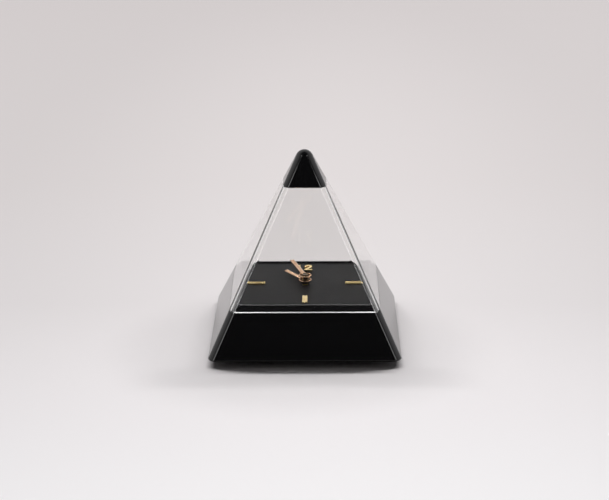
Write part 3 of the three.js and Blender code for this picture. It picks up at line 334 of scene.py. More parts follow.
dial = ring_piece("dial_sheet", [
    (recess_half - DIAL_GAP, DIAL_CORNER, TRAY_FLOOR + NEAR, 0.1),
    (recess_half - DIAL_GAP, DIAL_CORNER, DIAL_TOP, 0.12),
    (DIAL_HOLE, DIAL_HOLE, DIAL_TOP, 0.08),
    (DIAL_HOLE, DIAL_HOLE, TRAY_FLOOR + NEAR, 0.08),
])

# %% [markdown]
# ## Small parts from stacked sections
# The bars, figures and hands are small, and their shapes change along a line. We stack sections along
# that line, close both ends, and let a Weighted Normal modifier settle the shading: it gives large faces
# the say, which is what we did by hand for the big skins. Several closed shapes may share one mesh, as a
# hand's ring and bar do.

# %% Stacked sections and turned shapes
def stack(sections):
    """Points and faces of a closed shape through equal sections, one after the other."""
    sections = np.asarray(sections, float)
    return sections.reshape(-1, 3), strip_faces(len(sections), sections.shape[1], False)


def turned(profile, sides=48, closed=True, place=(0, 0)):
    """A profile of (radius, height) rows carried round an upright axis: the radius times cosine and
    sine."""
    profile = np.asarray(profile, float)
    angle = np.linspace(0, 2 * np.pi, sides, endpoint=False)
    x = place[0] + profile[:, :1] * np.cos(angle)
    y = place[1] + profile[:, :1] * np.sin(angle)
    grid = np.stack([x, y, np.broadcast_to(profile[:, 1:], x.shape)], -1)
    return grid.reshape(-1, 3), strip_faces(len(profile), sides, closed)


def turn_and_lift(points, degrees, lift):
    """The points turned about the clock's axis and raised."""
    c, s = math.cos(math.radians(degrees)), math.sin(math.radians(degrees))
    x, y, z = points.T
    return np.stack([c * x - s * y, s * x + c * y, z + lift], -1)


print("a plain tube has", len(turned([(1, 0), (2, 0), (2, 1), (1, 1)])[1]), "faces")

# %% Closed shapes made into one piece
SHARP_ANGLE = math.radians(40)


def small_piece(name, *shapes):
    """One object from several closed shapes, with outward faces and weighted normals."""
    points, faces, start = [], [], 0
    for shape_points, shape_faces in shapes:
        points.append(shape_points)
        faces += [[i + start for i in face] for face in shape_faces]
        start += len(shape_points)
    obj = new_object(name, np.concatenate(points), faces)
    work = bmesh.new()
    work.from_mesh(obj.data)
    bmesh.ops.recalc_face_normals(work, faces=work.faces)
    work.to_mesh(obj.data)
    work.free()
    obj.data.shade_smooth()
    obj.data.set_sharp_from_angle(angle=SHARP_ANGLE)
    weigh = obj.modifiers.new("weigh_normals", "WEIGHTED_NORMAL")
    weigh.keep_sharp = True
    print(name, len(obj.data.polygons), "faces")
    return obj


print("edges sharper than", round(math.degrees(SHARP_ANGLE)), "degrees stay sharp")

# %% [markdown]
# ## Gold bars
# The hours three, six and nine are thin gold bars with two ridges and a groove between them, pressed from
# sheet. Each bar is one section carried outwards. Near both ends the section shrinks along a quarter
# circle, which rounds the ends.

# %% The shape of a bar
BAR_LENGTH, BAR_WIDTH, BAR_HEIGHT, BAR_GROOVE = 12.8, 3.5, 1.3, 0.6
RIDGE_SHARE = 0.6
BAR_RIM_GAP = {3: 3.3, 6: 5.0, 9: 3.3}
END_ROUND = 0.22
SECTION_ROUNDS = [0.06, 0.06, 0.2, 0.18, 0.12, 0.18, 0.2]


def ridged_section(width, thickness, groove):
    """Outline across a bar: a flat underside, upright sides, two ridges and a groove, with small
    rounds."""
    w, ridge, side = width / 2, width / 2 * RIDGE_SHARE, thickness * RIDGE_SHARE
    outline = [(-w, 0), (w, 0), (w, side), (ridge, thickness), (0, thickness - groove), (-ridge, thickness),
               (-w, side)]
    return rounded(outline, SECTION_ROUNDS, steps=3)


def ridged_bar(start, end, width, thickness, groove):
    """The section carried along X. At each end it is scaled about its middle by a quarter circle's
    cosine."""
    section = ridged_section(width, thickness, groove)
    swing = np.radians([0, 30, 60, 90])
    into = END_ROUND * (1 - np.cos(swing))
    x = np.concatenate([start + into, end - into[::-1]])
    shrink = END_ROUND * (1 - np.sin(np.concatenate([swing, swing[::-1]])))
    across = section[None, :, 0] * (1 - shrink / (width / 2))[:, None]
    middle = thickness / 2
    up = middle + (section[None, :, 1] - middle) * (1 - shrink / middle)[:, None]
    return stack(np.stack([np.broadcast_to(x[:, None], across.shape), across, up], -1))


print("a bar's section has", len(ridged_section(BAR_WIDTH, BAR_HEIGHT, BAR_GROOVE)), "points")

# %% Build the bars
bars = {}
for hour, gap in BAR_RIM_GAP.items():
    end = recess_half - gap
    points, faces = ridged_bar(end - BAR_LENGTH, end, BAR_WIDTH, BAR_HEIGHT, BAR_GROOVE)
    bars[hour] = small_piece(f"gold_bar_{hour}", (turn_and_lift(points, 90 - 30 * hour, DIAL_TOP), faces))

# %% [markdown]
# ## Figures for twelve
# Twelve is written out, as a small one and two cut from gold sheet. Plain numbers like these belong to
# any clock. The outline is stacked upwards, and drawn in a little near the top for a soft edge.

# %% The outlines of the figures
FIGURE_HEIGHT, FIGURE_WIDTH, ONE_WIDTH = 10.6, 5.5, 2.4
STROKE, FIGURE_THICKNESS, EDGE_SOFT = 1.7, 1.5, 0.22
FIGURE_GAP, FIGURE_RIM_GAP, FIGURES_SHIFT = 2.9, 7.9, -0.65
FLAG_SLOPE, FLAG_DEPTH, FLAG_ROUND = 0.8, 0.9, 0.08
BOWL_START, BOWL_END, BOWL_POINTS, FOOT_LEAN, FOOT_HEEL = 207.0, -32.4, 24, 1.35, 0.9


def inset(outline, distance):
    """The outline moved inwards: each point goes along the sum of its two sides' normals, over one plus
    their product."""
    side = np.roll(outline, -1, 0) - outline
    side = side / np.linalg.norm(side, axis=1, keepdims=True)
    normal = np.stack([-side[:, 1], side[:, 0]], -1)
    before = np.roll(normal, 1, 0)
    reach = np.maximum(1 + (normal * before).sum(1, keepdims=True), 0.5)
    return outline + (normal + before) / reach * distance


def cut_from_sheet(outline, thickness, soft=EDGE_SOFT):
    """The outline at four levels: full size up to near the top, then inset along a quarter circle."""
    swing = np.radians([0, 30, 60, 90])
    levels = np.concatenate([[0], thickness - soft + soft * np.sin(swing)])
    insets = np.concatenate([[0], soft * (1 - np.cos(swing))])
    rings = [np.column_stack([inset(outline, d), np.full(len(outline), z)]) for d, z in zip(insets, levels)]
    return stack(rings)


def outline_of_one():
    """A stem with a short flag at its upper left."""
    w, h, flag = STROKE, FIGURE_HEIGHT, ONE_WIDTH - STROKE
    flag_top = h - flag * FLAG_SLOPE
    corners = [(0, 0), (w, 0), (w, h), (0, h), (-flag, flag_top), (-flag, flag_top - w * FLAG_DEPTH),
               (0, h - w)]
    return rounded(corners, FLAG_ROUND, steps=2) + [flag, 0]


def outline_of_two():
    """A bowl that follows part of a ring and starts with a hook, a slanting stroke down to the left, and
    a flat foot. The bowl's angles are counted from the right, against the clock."""
    outer, inner = FIGURE_WIDTH / 2, FIGURE_WIDTH / 2 - STROKE
    bowl_y = FIGURE_HEIGHT - outer
    angle = np.radians(np.linspace(BOWL_START, BOWL_END, BOWL_POINTS))
    outside = np.column_stack([outer + outer * np.cos(angle), bowl_y + outer * np.sin(angle)])
    inside = np.column_stack([outer + inner * np.cos(angle), bowl_y + inner * np.sin(angle)])[::-1]
    foot = [(STROKE * FOOT_LEAN, STROKE), (FIGURE_WIDTH, STROKE), (FIGURE_WIDTH, 0), (0, 0),
            (0, STROKE * FOOT_HEEL)]
    return np.concatenate([outside, foot, inside])[::-1]


print("outlines of", len(outline_of_one()), "and", len(outline_of_two()), "points")

# %% Build the figures
figures_left = FIGURES_SHIFT - (ONE_WIDTH + FIGURE_GAP + FIGURE_WIDTH) / 2
figures_low = recess_half - FIGURE_RIM_GAP - FIGURE_HEIGHT
figure_places = {1: figures_left, 2: figures_left + ONE_WIDTH + FIGURE_GAP}
figures = {}
for number, outline in ((1, outline_of_one()), (2, outline_of_two())):
    points, faces = cut_from_sheet(outline, FIGURE_THICKNESS)
    figures[number] = small_piece(
        f"gold_figure_{number}", (points + [figure_places[number], figures_low, DIAL_TOP], faces))

# %% [markdown]
# ## Hands
# Each hand is a ridged bar that ends in a ring round the shaft, with a thin sunken web and a collet that
# grips its pipe. The time is three minutes to eleven, and the hour hand sits a few degrees back, as in
# the photograph. The ring is turned and the bar is stacked, and both go into one mesh.

# %% Build the hands
MINUTE_DEGREES, HOUR_DEGREES = 106.2, 124.35
MINUTE_LENGTH, HOUR_LENGTH, HAND_WIDTH, HAND_THICKNESS, HAND_GROOVE = 34.6, 24.0, 3.0, 1.0, 0.75
RING_RADIUS, RING_WALL, HAND_WEB, COLLET_WALL, COLLET_DROP = 4.4, 0.7, 0.3, 0.7, 1.8
HOUR_UNDER, MINUTE_UNDER = DIAL_TOP + 2.5, DIAL_TOP + 5.7
HOUR_BORE, MINUTE_BORE = 2.3, 1.6


def hand(name, length, bore, degrees, under):
    """A hand with its underside at the height given, turned to its place on the dial."""
    inner, collet = RING_RADIUS - RING_WALL, bore + COLLET_WALL
    outline = [(bore, -COLLET_DROP), (collet, -COLLET_DROP), (collet, 0), (RING_RADIUS, 0),
               (RING_RADIUS, HAND_THICKNESS), (inner, HAND_THICKNESS), (inner, HAND_WEB),
               (collet, HAND_WEB), (collet, HAND_THICKNESS), (bore, HAND_THICKNESS)]
    rounds = [0.05, 0.12, 0.05, 0.15, 0.3, 0.3, 0.05, 0.05, 0.15, 0.05]
    ring, ring_faces = turned(rounded(outline, rounds, steps=3), 64)
    bar, bar_faces = ridged_bar(inner + RING_WALL / 2, length, HAND_WIDTH, HAND_THICKNESS, HAND_GROOVE)
    return small_piece(name, (turn_and_lift(ring, degrees, under), ring_faces),
                       (turn_and_lift(bar, degrees, under), bar_faces))


hour_pointer = hand("hour_pointer", HOUR_LENGTH, HOUR_BORE, HOUR_DEGREES, HOUR_UNDER)
minute_pointer = hand("minute_pointer", MINUTE_LENGTH, MINUTE_BORE, MINUTE_DEGREES, MINUTE_UNDER)

# %% [markdown]
# ## Knob and feet
# Under the clock, a fluted knob sets the hands and four rubber feet carry the weight. The knob's radius
# rises and falls with the cosine of the flutes' angle, which gives soft flutes in one formula.

# %% Build the knob and the feet
KNOB_X, KNOB_Y, KNOB_LOW, KNOB_HIGH, KNOB_RADIUS, KNOB_FLUTES = 10.82526, -3.94007, 3.0, 9.8, 7.0, 16
AXIS_GAP = 0.05
FLUTE_DEPTH, FLUTE_START, KNOB_SOCKET, KNOB_BORE = 0.5, 0.7, 3.1, 1.0
FOOT_PLACE, FOOT_RADIUS, FOOT_TOP = 46.0, 6.0, 2.8


def fluted_knob():
    """A closed grid: the profile's radius, less half the flute depth times one minus the cosine of the
    flutes' angle at the rim. The flutes fade out towards the middle of the faces."""
    socket = KNOB_HIGH - KNOB_SOCKET
    outline = [(AXIS_GAP, KNOB_LOW), (KNOB_RADIUS, KNOB_LOW), (KNOB_RADIUS, KNOB_HIGH),
               (KNOB_BORE, KNOB_HIGH), (KNOB_BORE, socket), (AXIS_GAP, socket)]
    rows = rounded(outline, [0, 0.5, 0.3, 0.1, 0.1, 0], closed=False)
    angle = np.linspace(0, 2 * np.pi, 8 * KNOB_FLUTES, endpoint=False)
    fade = np.clip((rows[:, :1] / KNOB_RADIUS - FLUTE_START) / (1 - FLUTE_START), 0, 1)
    radius = rows[:, :1] - fade * FLUTE_DEPTH * (1 - np.cos(KNOB_FLUTES * angle)) / 2
    x, y = KNOB_X + radius * np.cos(angle), KNOB_Y + radius * np.sin(angle)
    return stack(np.stack([x, y, np.broadcast_to(rows[:, 1:], x.shape)], -1))


knob = small_piece("fluted_knob", fluted_knob())
foot_outline = [(AXIS_GAP, 0), (FOOT_RADIUS, 0), (FOOT_RADIUS, FOOT_TOP), (AXIS_GAP, FOOT_TOP)]
foot_profile = rounded(foot_outline, [0, 0.5, 0.15, 0], closed=False)
feet = {}
for number, (side_x, side_y) in enumerate([(-1, -1), (1, -1), (1, 1), (-1, 1)], start=1):
    place = (side_x * FOOT_PLACE, side_y * FOOT_PLACE)
    feet[number] = small_piece(f"rubber_foot_{number}", turned(foot_profile, 64, False, place))

# %% [markdown]
# ## Wiring nodes
# A material is a small network in which textures and sums feed the sockets of a shader. In Blender's
# window one drags the wires by hand. Here a few helpers do it, so that each material below reads like a
# recipe.

# %% Helpers for nodes and wires
def feed(tree, node, inputs):
    """Each input gets a wire if it is given another node's socket, and is set to the plain value
    otherwise."""
    for key, value in inputs.items():
        if isinstance(value, bpy.types.NodeSocket):
            tree.links.new(value, node.inputs[key])
        else:
            node.inputs[key].default_value = value
    return node


def wired(tree, kind, inputs, **settings):
    """A new node with its settings and its inputs."""
    node = tree.nodes.new(kind)
    for key, value in settings.items():
        setattr(node, key, value)
    return feed(tree, node, inputs)


def reckon(tree, operation, *values, **settings):
    """The result of a Math node."""
    node = wired(tree, "ShaderNodeMath", dict(enumerate(values)), operation=operation, **settings)
    return node.outputs[0]


def reckon_vector(tree, operation, *values, out="Vector"):
    """The result of a Vector Math node."""
    node = wired(tree, "ShaderNodeVectorMath", dict(enumerate(values)), operation=operation)
    return node.outputs[out]


print("helpers", [helper.__name__ for helper in (feed, wired, reckon, reckon_vector)])


# %% Helpers for patterns
def noise(tree, where, count, detail):
    """Noise with the given count of lumps per metre."""
    node = wired(tree, "ShaderNodeTexNoise", {"Scale": count, "Detail": detail, "Vector": where})
    return node.outputs["Fac"]


def spread(tree, source, low_in, high_in, low_out, high_out, curve="LINEAR"):
    """The stretch of the source from low_in to high_in, mapped to low_out to high_out and held beyond."""
    ends = {"From Min": low_in, "From Max": high_in, "To Min": low_out, "To Max": high_out}
    node = wired(tree, "ShaderNodeMapRange", {"Value": source, **ends}, interpolation_type=curve)
    return node.outputs["Result"]


def blend(tree, factor, low, high):
    """A colour that goes from low to high with the factor."""
    node = wired(tree, "ShaderNodeMix", {}, data_type="RGBA")
    return feed(tree, node, {"Factor": factor, "A": low, "B": high}).outputs["Result"]


def bumped(tree, height, strength, depth):
    """A normal that leans with the slope of the height. The depth is in metres."""
    node = wired(tree, "ShaderNodeBump", {"Height": height, "Strength": strength, "Distance": depth})
    return node.outputs["Normal"]


def new_material(name):
    """A material with its tree, its Principled shader and its Object coordinates."""
    made = bpy.data.materials.new(name)
    made.use_nodes = True
    tree = made.node_tree
    place = wired(tree, "ShaderNodeTexCoord", {}).outputs["Object"]
    return made, tree, tree.nodes["Principled BSDF"], place


print("helpers", [helper.__name__ for helper in (noise, spread, blend, bumped, new_material)])

# %% [markdown]
# ## Finishes
# A finish is more than a colour. Each one here has a fine grain in its bumps, a broader pattern in its
# roughness from polishing and handling, and two close tones in its colour. All patterns are worked out in
# object space, so they stay on the pieces from every side. One function wires this, and each finish
# passes its own numbers in.

# %% One recipe for all the opaque finishes
PLASTIC_INDEX = 1.5
BROADER = 24
TONE_BAND, ROUGH_BAND = (0.35, 0.65), (0.3, 0.7)
SPECK_EDGE, SPECK_ROUGHNESS, CORE_EDGE = 0.04, 0.3, 0.0001


def finish(name, tones, rough, grain, bump, metal=0.0, stretch=(1, 1, 1), specks=None, gloss_level=0.5,
           core=None):
    """A Principled material. tones are two colours, rough two roughnesses, grain the pattern's count per
    metre, bump a (strength, depth in metres) pair, and specks an optional (count per metre, share,
    colour) of dust or wear. core is an optional (radius, colour): within that distance of the clock's
    axis the colour takes over."""
    made, tree, shader, place = new_material(name)
    where = wired(tree, "ShaderNodeMapping", {"Vector": place, "Scale": stretch}).outputs["Vector"]
    fine, broad = noise(tree, where, grain, 4.0), noise(tree, where, grain / BROADER, 5.0)
    colour = blend(tree, spread(tree, broad, *TONE_BAND, 0, 1), (*tones[0], 1), (*tones[1], 1))
    roughness = spread(tree, broad, *ROUGH_BAND, *rough)
    if specks:
        count, share, speck_colour = specks
        mask = spread(tree, noise(tree, where, count, 2.0), 1 - share, 1 - share + SPECK_EDGE, 0, 1)
        colour = blend(tree, mask, colour, (*speck_colour, 1))
        roughness = reckon(tree, "MULTIPLY_ADD", mask, SPECK_ROUGHNESS, roughness, use_clamp=True)
    # a darker colour near the clock's axis; on the hands this is painted shade in their sunken middle
    if core:
        radius, core_colour = core
        level_place = reckon_vector(tree, "MULTIPLY", place, (1, 1, 0))
        reach = reckon_vector(tree, "LENGTH", level_place, out="Value")
        outside = spread(tree, reach, radius - CORE_EDGE, radius + CORE_EDGE, 0, 1)
        colour = blend(tree, outside, (*core_colour, 1), colour)
    feed(tree, shader, {"Metallic": metal, "IOR": PLASTIC_INDEX, "Specular IOR Level": gloss_level,
                        "Base Color": colour, "Roughness": roughness, "Normal": bumped(tree, fine, *bump)})
    return made


print("a finish has a grain and a pattern", BROADER, "times as broad")

# %% [markdown]
# ## The finishes of the clock
# Base, tip and tray are polished black plastic, the dial has a satin coat, bars and figures are bright
# gilt and the hands a rosier satin gilt, with painted shade that makes their sunken middle a darker brown.
# Underneath is fine-grained black plastic and rubber. The movement inside has its plain workshop metals and
# nylon, which show when a buyer looks in from below or pulls the model apart.

# %% Make the finishes
FINISHES = {
    "gloss_black": finish(
        "polished_black", ((0.006, 0.006, 0.0069), (0.007, 0.007, 0.0081)), (0.04, 0.08), 900,
        (0.04, 0.00001), specks=(2600, 0.27, (0.012, 0.012, 0.013))),
    "satin_dial": finish(
        "satin_dial_coat", ((0.0083, 0.008, 0.0083), (0.01, 0.0097, 0.01)), (0.3, 0.36), 5200,
        (0.25, 0.00002), specks=(4200, 0.3, (0.024, 0.024, 0.024)), gloss_level=0.02),
    "gold": finish(
        "bright_gilt", ((0.97, 0.74, 0.34), (1.0, 0.8, 0.4)), (0.18, 0.28), 2600, (0.12, 0.00001),
        metal=1.0, specks=(3600, 0.26, (0.7, 0.5, 0.22))),
    # the darker brown within 3.75 mm of the axis is painted shade in the hands' sunken middle
    "rose_gold": finish(
        "rosy_satin_gilt", ((0.76, 0.49, 0.31), (0.82, 0.56, 0.38)), (0.12, 0.2), 2600, (0.15, 0.00001),
        metal=1.0, specks=(3600, 0.26, (0.5, 0.28, 0.14)), core=(0.00375, (0.2, 0.11, 0.04))),
    "matt_black": finish(
        "grained_black", ((0.016, 0.016, 0.017), (0.024, 0.024, 0.025)), (0.5, 0.68), 3600, (0.35, 0.00006),
        specks=(1500, 0.3, (0.05, 0.05, 0.05))),
    "rubber": finish(
        "foot_rubber", ((0.012, 0.012, 0.012), (0.02, 0.02, 0.02)), (0.75, 0.92), 2400, (0.4, 0.00008),
        specks=(1800, 0.32, (0.07, 0.07, 0.066))),
    "steel": finish(
        "plain_steel", ((0.52, 0.53, 0.54), (0.6, 0.6, 0.61)), (0.25, 0.42), 3000, (0.15, 0.00001),
        metal=1.0, stretch=(1, 0.2, 1)),
    "brass": finish(
        "turned_brass", ((0.6, 0.44, 0.16), (0.68, 0.5, 0.2)), (0.22, 0.38), 3200, (0.15, 0.00001),
        metal=1.0, stretch=(1, 1, 6), core=(0.0016, (0.1, 0.06, 0.03))),
    "nylon": finish(
        "natural_nylon", ((0.8, 0.78, 0.7), (0.84, 0.82, 0.75)), (0.42, 0.58), 2200, (0.2, 0.00002)),
    "magnet": finish(
        "ground_magnet", ((0.06, 0.06, 0.065), (0.09, 0.09, 0.095)), (0.4, 0.55), 4000, (0.3, 0.00002),
        metal=0.6),
    "copper": finish(
        "enamelled_copper", ((0.45, 0.14, 0.05), (0.55, 0.2, 0.08)), (0.2, 0.35), 3500, (0.5, 0.00005),
        metal=0.8, stretch=(0.2, 4, 0.2)),
    "board": finish(
        "green_board", ((0.02, 0.11, 0.035), (0.03, 0.15, 0.05)), (0.3, 0.45), 1800, (0.2, 0.00003)),
    "cell_wrap": finish(
        "plain_cell_sleeve", ((0.02, 0.1, 0.075), (0.03, 0.14, 0.1)), (0.25, 0.4), 1500, (0.15, 0.00002)),
}
print("finishes", sorted(FINISHES))

# %% [markdown]
# ## Clear acrylic
# Acrylic bends light almost as glass does, with an index near 1.49. A renderer is slow to find lamps
# through a curved clear wall, so shadow rays pass straight through a slightly grey Transparent shader,
# while every other ray meets the true clear surface. A trace of haze from polishing keeps the surface
# from looking computed. The foot of the wall is left as it was ground, so it scatters light, and that is
# the bright line round the deck. Along the side walls the foot is nearly smooth, because there the line
# in the photograph is thin.

# %% Make the clear acrylic
ACRYLIC_INDEX, ACRYLIC_TINT, SHADOW_TINT = 1.49, (0.985, 0.985, 0.98, 1), (0.93, 0.93, 0.93, 1)
POLISH, HAZE_COUNT, HAZE_BAND = (0.0, 0.03), 500, (0.35, 0.7)
GROUND_BAND, GROUND_FADE, GROUND_ROUGHNESS, SIDE_GROUND, SIDE_FADE = 0.06, 0.06, 0.4, 0.1, 4.0
RIPPLE_COUNT, RIPPLE_STRENGTH, RIPPLE_DEPTH = 60.0, 0.05, 0.00002


def ground_foot(tree, place):
    """Roughness of the ground foot: full up to a small height over the deck, and nothing above it. Where
    a place is further out sideways than forward or back, the roughness is cut to a tenth."""
    height = wired(tree, "ShaderNodeSeparateXYZ", {"Vector": place}).outputs["Z"]
    top = (DECK_TOP + GROUND_BAND) * MM
    ground = spread(tree, height, top, top + GROUND_FADE * MM, GROUND_ROUGHNESS, 0)
    size = wired(tree, "ShaderNodeSeparateXYZ", {"Vector": reckon_vector(tree, "ABSOLUTE", place)}).outputs
    ahead = reckon(tree, "SUBTRACT", size["Y"], size["X"])
    return reckon(tree, "MULTIPLY", ground, spread(tree, ahead, 0, SIDE_FADE * MM, SIDE_GROUND, 1))


def clear_acrylic(name):
    """Clear plastic whose roughness wanders between two small values, mixed with a shader that lets lamps
    through."""
    made, tree, shader, place = new_material(name)
    haze = spread(tree, noise(tree, place, HAZE_COUNT, 4.0), *HAZE_BAND, *POLISH)
    ripple = bumped(tree, noise(tree, place, RIPPLE_COUNT, 1.0), RIPPLE_STRENGTH, RIPPLE_DEPTH)
    roughness = reckon(tree, "MAXIMUM", haze, ground_foot(tree, place))
    feed(tree, shader, {"Base Color": ACRYLIC_TINT, "Transmission Weight": 1.0, "IOR": ACRYLIC_INDEX,
                        "Roughness": roughness, "Normal": ripple})
    through = wired(tree, "ShaderNodeBsdfTransparent", {"Color": SHADOW_TINT})
    shadow_ray = wired(tree, "ShaderNodeLightPath", {}).outputs["Is Shadow Ray"]
    mix = wired(tree, "ShaderNodeMixShader",
                {"Fac": shadow_ray, 1: shader.outputs["BSDF"], 2: through.outputs["BSDF"]})
    feed(tree, tree.nodes["Material Output"], {"Surface": mix.outputs["Shader"]})
    return made


FINISHES["clear_plastic"] = clear_acrylic("clear_acrylic")
print("clear acrylic with an index of", ACRYLIC_INDEX)

# %% [markdown]
# ## Dressing the pieces
# Each new piece rides on the body that carries the solid it stands for, takes that solid's place in the
# picture, and gets the finish of that solid's material slot in the record. Solids with no new skin keep
# their own shape and just get a finish.

# %% Put finishes, bodies and slots together
NEW_PIECES = [
    (housing, "base_housing"), (shell, "crystal_shell"), (tip, "apex_cap"),
    (tray, "dial_tray"), (dial, "dial_plate"),
    (hour_pointer, "hour_hand"), (minute_pointer, "minute_hand"), (knob, "time_set_knob"),
    *[(bars[hour], f"marker_{hour}") for hour in bars],
    *[(figures[number], f"figure_{number}") for number in figures],
    *[(feet[number], f"foot_{number}") for number in feet],
]
slot_of = {row["node"]: row["material_slot"] for row in frame["record"]["subparts"]}
body_of = {node: body for body, nodes in frame["record"]["behaviour"]["bodies"].items() for node in nodes}
for obj, node in NEW_PIECES:
    obj.data.materials.append(FINISHES[slot_of[node]])
    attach(obj, body_of[node])
    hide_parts(node)
replaced = {node for _, node in NEW_PIECES}
for node, obj in NODES.items():
    if node not in replaced:
        obj.data.materials.clear()
        obj.data.materials.append(FINISHES[slot_of[node]])
print(len(NEW_PIECES), "new pieces,", len(NODES) - len(replaced), "solids kept")

# %% [markdown]
# ## Floor
# The clock stands on a sweep of pale paper, and light and shade are painted into the paper's colour. A
# colour ramp along the depth paints the paper lighter near the camera and a little darker far behind. One
# oval paints a soft pool of light in the middle, and a slight lean paints a trace more light on the right.
# A second oval paints shade close to the base, where the clock keeps part of the room's light away. A fine
# grain breaks the surface.

# %% Choose the paper's tones and its painted light and shade
FLOOR_HALF = 6.0
NEAR_END, FAR_END = -0.3, 1.4
# the paper's tones along its depth, lighter near and darker far: painted falloff of light
PAINTED_FALLOFF_TONES = [(0.03, (0.905, 0.885, 0.895)), (0.1, (0.84, 0.81, 0.82)), (0.21, (0.742, 0.708, 0.713)),
               (0.4, (0.692, 0.653, 0.653)), (1.0, (0.6, 0.562, 0.562))]
# painted pool of light on the paper: its middle, its size, and the colour scale inside it and at its edge
PAINTED_POOL_MIDDLE, PAINTED_POOL_WIDE, PAINTED_POOL_DEEP, PAINTED_POOL_LIGHT, PAINTED_POOL_EDGE = (0.02, 0.25), 0.34, 1.3, 1.09, 0.96
# painted shade round the base, standing in for the clock's shadow: its middle, size, darkest scale and
# fading band
PAINTED_SHADE_MIDDLE, PAINTED_SHADE_WIDE, PAINTED_SHADE_DEEP, PAINTED_SHADE_SHARE, PAINTED_SHADE_BAND = (-0.006, -0.03), 0.138, 0.12, 0.88, (0.6, 1.05)
# painted extra light towards the right of the paper
PAINTED_RIGHT_GAIN, PAINTED_RIGHT_REACH = 0.015, 0.3
PAPER_ROUGHNESS, PAPER_GLOSS = 0.7, 0.3
FIBRE_COUNT, FIBRE_STRENGTH, FIBRE_DEPTH = 700.0, 0.1, 0.00005


def oval(tree, place, middle, wide, deep):
    """How far out a place lies in an oval: the length of (x over wide, y over deep), counted from its
    middle."""
    shift = (-middle[0] / wide, -middle[1] / deep, 0)
    return reckon_vector(tree, "LENGTH", reckon_vector(
        tree, "MULTIPLY_ADD", place, (1 / wide, 1 / deep, 0), shift), out="Value")


def painted_falloff_ramp(tree, source):
    """A colour ramp with the paper's tones, which paint the falloff of light along its depth."""
    ramp = wired(tree, "ShaderNodeValToRGB", {"Fac": source})
    elements = ramp.color_ramp.elements
    for spot, tone in PAINTED_FALLOFF_TONES[1:-1]:
        elements.new(spot)
    for element, (spot, tone) in zip(elements, PAINTED_FALLOFF_TONES):
        element.position = spot
        element.color = (*tone, 1)
    return ramp.outputs["Color"]


print("paper tones", len(PAINTED_FALLOFF_TONES))

# %% Build the floor
corners = np.array([(-1, -1, 0), (1, -1, 0), (1, 1, 0), (-1, 1, 0)]) * FLOOR_HALF / MM
floor = new_object("paper_floor", corners, [[0, 1, 2, 3]])
paper, tree, shader, place = new_material("pale_paper")
split = wired(tree, "ShaderNodeSeparateXYZ", {"Vector": place}).outputs
# painted falloff: the paper's colour darkens from near to far
tone = painted_falloff_ramp(tree, spread(tree, split["Y"], NEAR_END, FAR_END, 0, 1))
# painted pool of light in the middle of the paper
painted_pool_reach = oval(tree, place, PAINTED_POOL_MIDDLE, PAINTED_POOL_WIDE, PAINTED_POOL_DEEP)
painted_pool = spread(tree, painted_pool_reach, 0, 1, PAINTED_POOL_LIGHT, PAINTED_POOL_EDGE, "SMOOTHSTEP")
# painted shade: the paper's colour is darkened close to the base, as the clock's shadow
painted_shade_reach = oval(tree, place, PAINTED_SHADE_MIDDLE, PAINTED_SHADE_WIDE, PAINTED_SHADE_DEEP)
painted_shade = spread(tree, painted_shade_reach, *PAINTED_SHADE_BAND, PAINTED_SHADE_SHARE, 1, "SMOOTHSTEP")
# painted light: the paper's colour is a trace lighter towards the right
painted_lean = spread(tree, split["X"], -PAINTED_RIGHT_REACH, PAINTED_RIGHT_REACH, -PAINTED_RIGHT_GAIN, PAINTED_RIGHT_GAIN)
# the painted light and shade together scale the paper's colour
share = reckon(tree, "MULTIPLY", reckon(tree, "ADD", painted_pool, painted_lean), painted_shade)
lit = wired(tree, "ShaderNodeVectorMath", {0: tone, "Scale": share}, operation="SCALE").outputs["Vector"]
fibre = bumped(tree, noise(tree, place, FIBRE_COUNT, 2.0), FIBRE_STRENGTH, FIBRE_DEPTH)
feed(tree, shader, {"Base Color": lit, "Roughness": PAPER_ROUGHNESS, "Specular IOR Level": PAPER_GLOSS,
                    "Normal": fibre})
floor.data.materials.append(paper)
print("floor", 2 * FLOOR_HALF, "metres wide")

# %% [markdown]
# ## Room
# The room above and on the camera's side is dark: that is what the front faces mirror, and it makes them
# look black. Behind and beside the clock is a pale tent, and it narrows towards the sides. The room could
# light the paper too, but then the shadow in front would turn grey, so it gives the paper only a fifth of
# its light. The camera itself sees a plain pale backdrop beyond the paper.

# %% Set up the room
TENT, DARK_ROOM, PALE_ROOM, FILL_SHARE = 0.74, 0.035, 0.66, 0.2
TENT_TINT, PALE_TINT = (1.0, 0.985, 0.985, 1), (1.0, 0.97, 0.97, 1)
SIDE_STRETCH, DARK_SIDE, DARK_BAND = 1.8, (0, -0.7, 0.714), (0.25, 0.68)
world = bpy.data.worlds.new("studio_tent")
bpy.context.scene.world = world
world.use_nodes = True
tree = world.node_tree
direction = wired(tree, "ShaderNodeTexCoord", {}).outputs["Generated"]
narrow = reckon_vector(tree, "NORMALIZE", reckon_vector(tree, "MULTIPLY", direction, (SIDE_STRETCH, 1, 1)))
toward = reckon_vector(tree, "DOT_PRODUCT", narrow, DARK_SIDE, out="Value")
shade = spread(tree, toward, *DARK_BAND, TENT, DARK_ROOM, "SMOOTHSTEP")
ray = wired(tree, "ShaderNodeLightPath", {}).outputs
level = reckon(tree, "MULTIPLY", shade, spread(tree, ray["Is Diffuse Ray"], 0, 1, 1, FILL_SHARE))
tent = feed(tree, tree.nodes["Background"], {"Color": TENT_TINT, "Strength": level})
pale = wired(tree, "ShaderNodeBackground", {"Color": PALE_TINT, "Strength": PALE_ROOM})
mix = wired(tree, "ShaderNodeMixShader",
            {"Fac": ray["Is Camera Ray"], 1: tent.outputs["Background"], 2: pale.outputs["Background"]})
feed(tree, tree.nodes["World Output"], {"Surface": mix.outputs["Shader"]})
print("room", world.name)

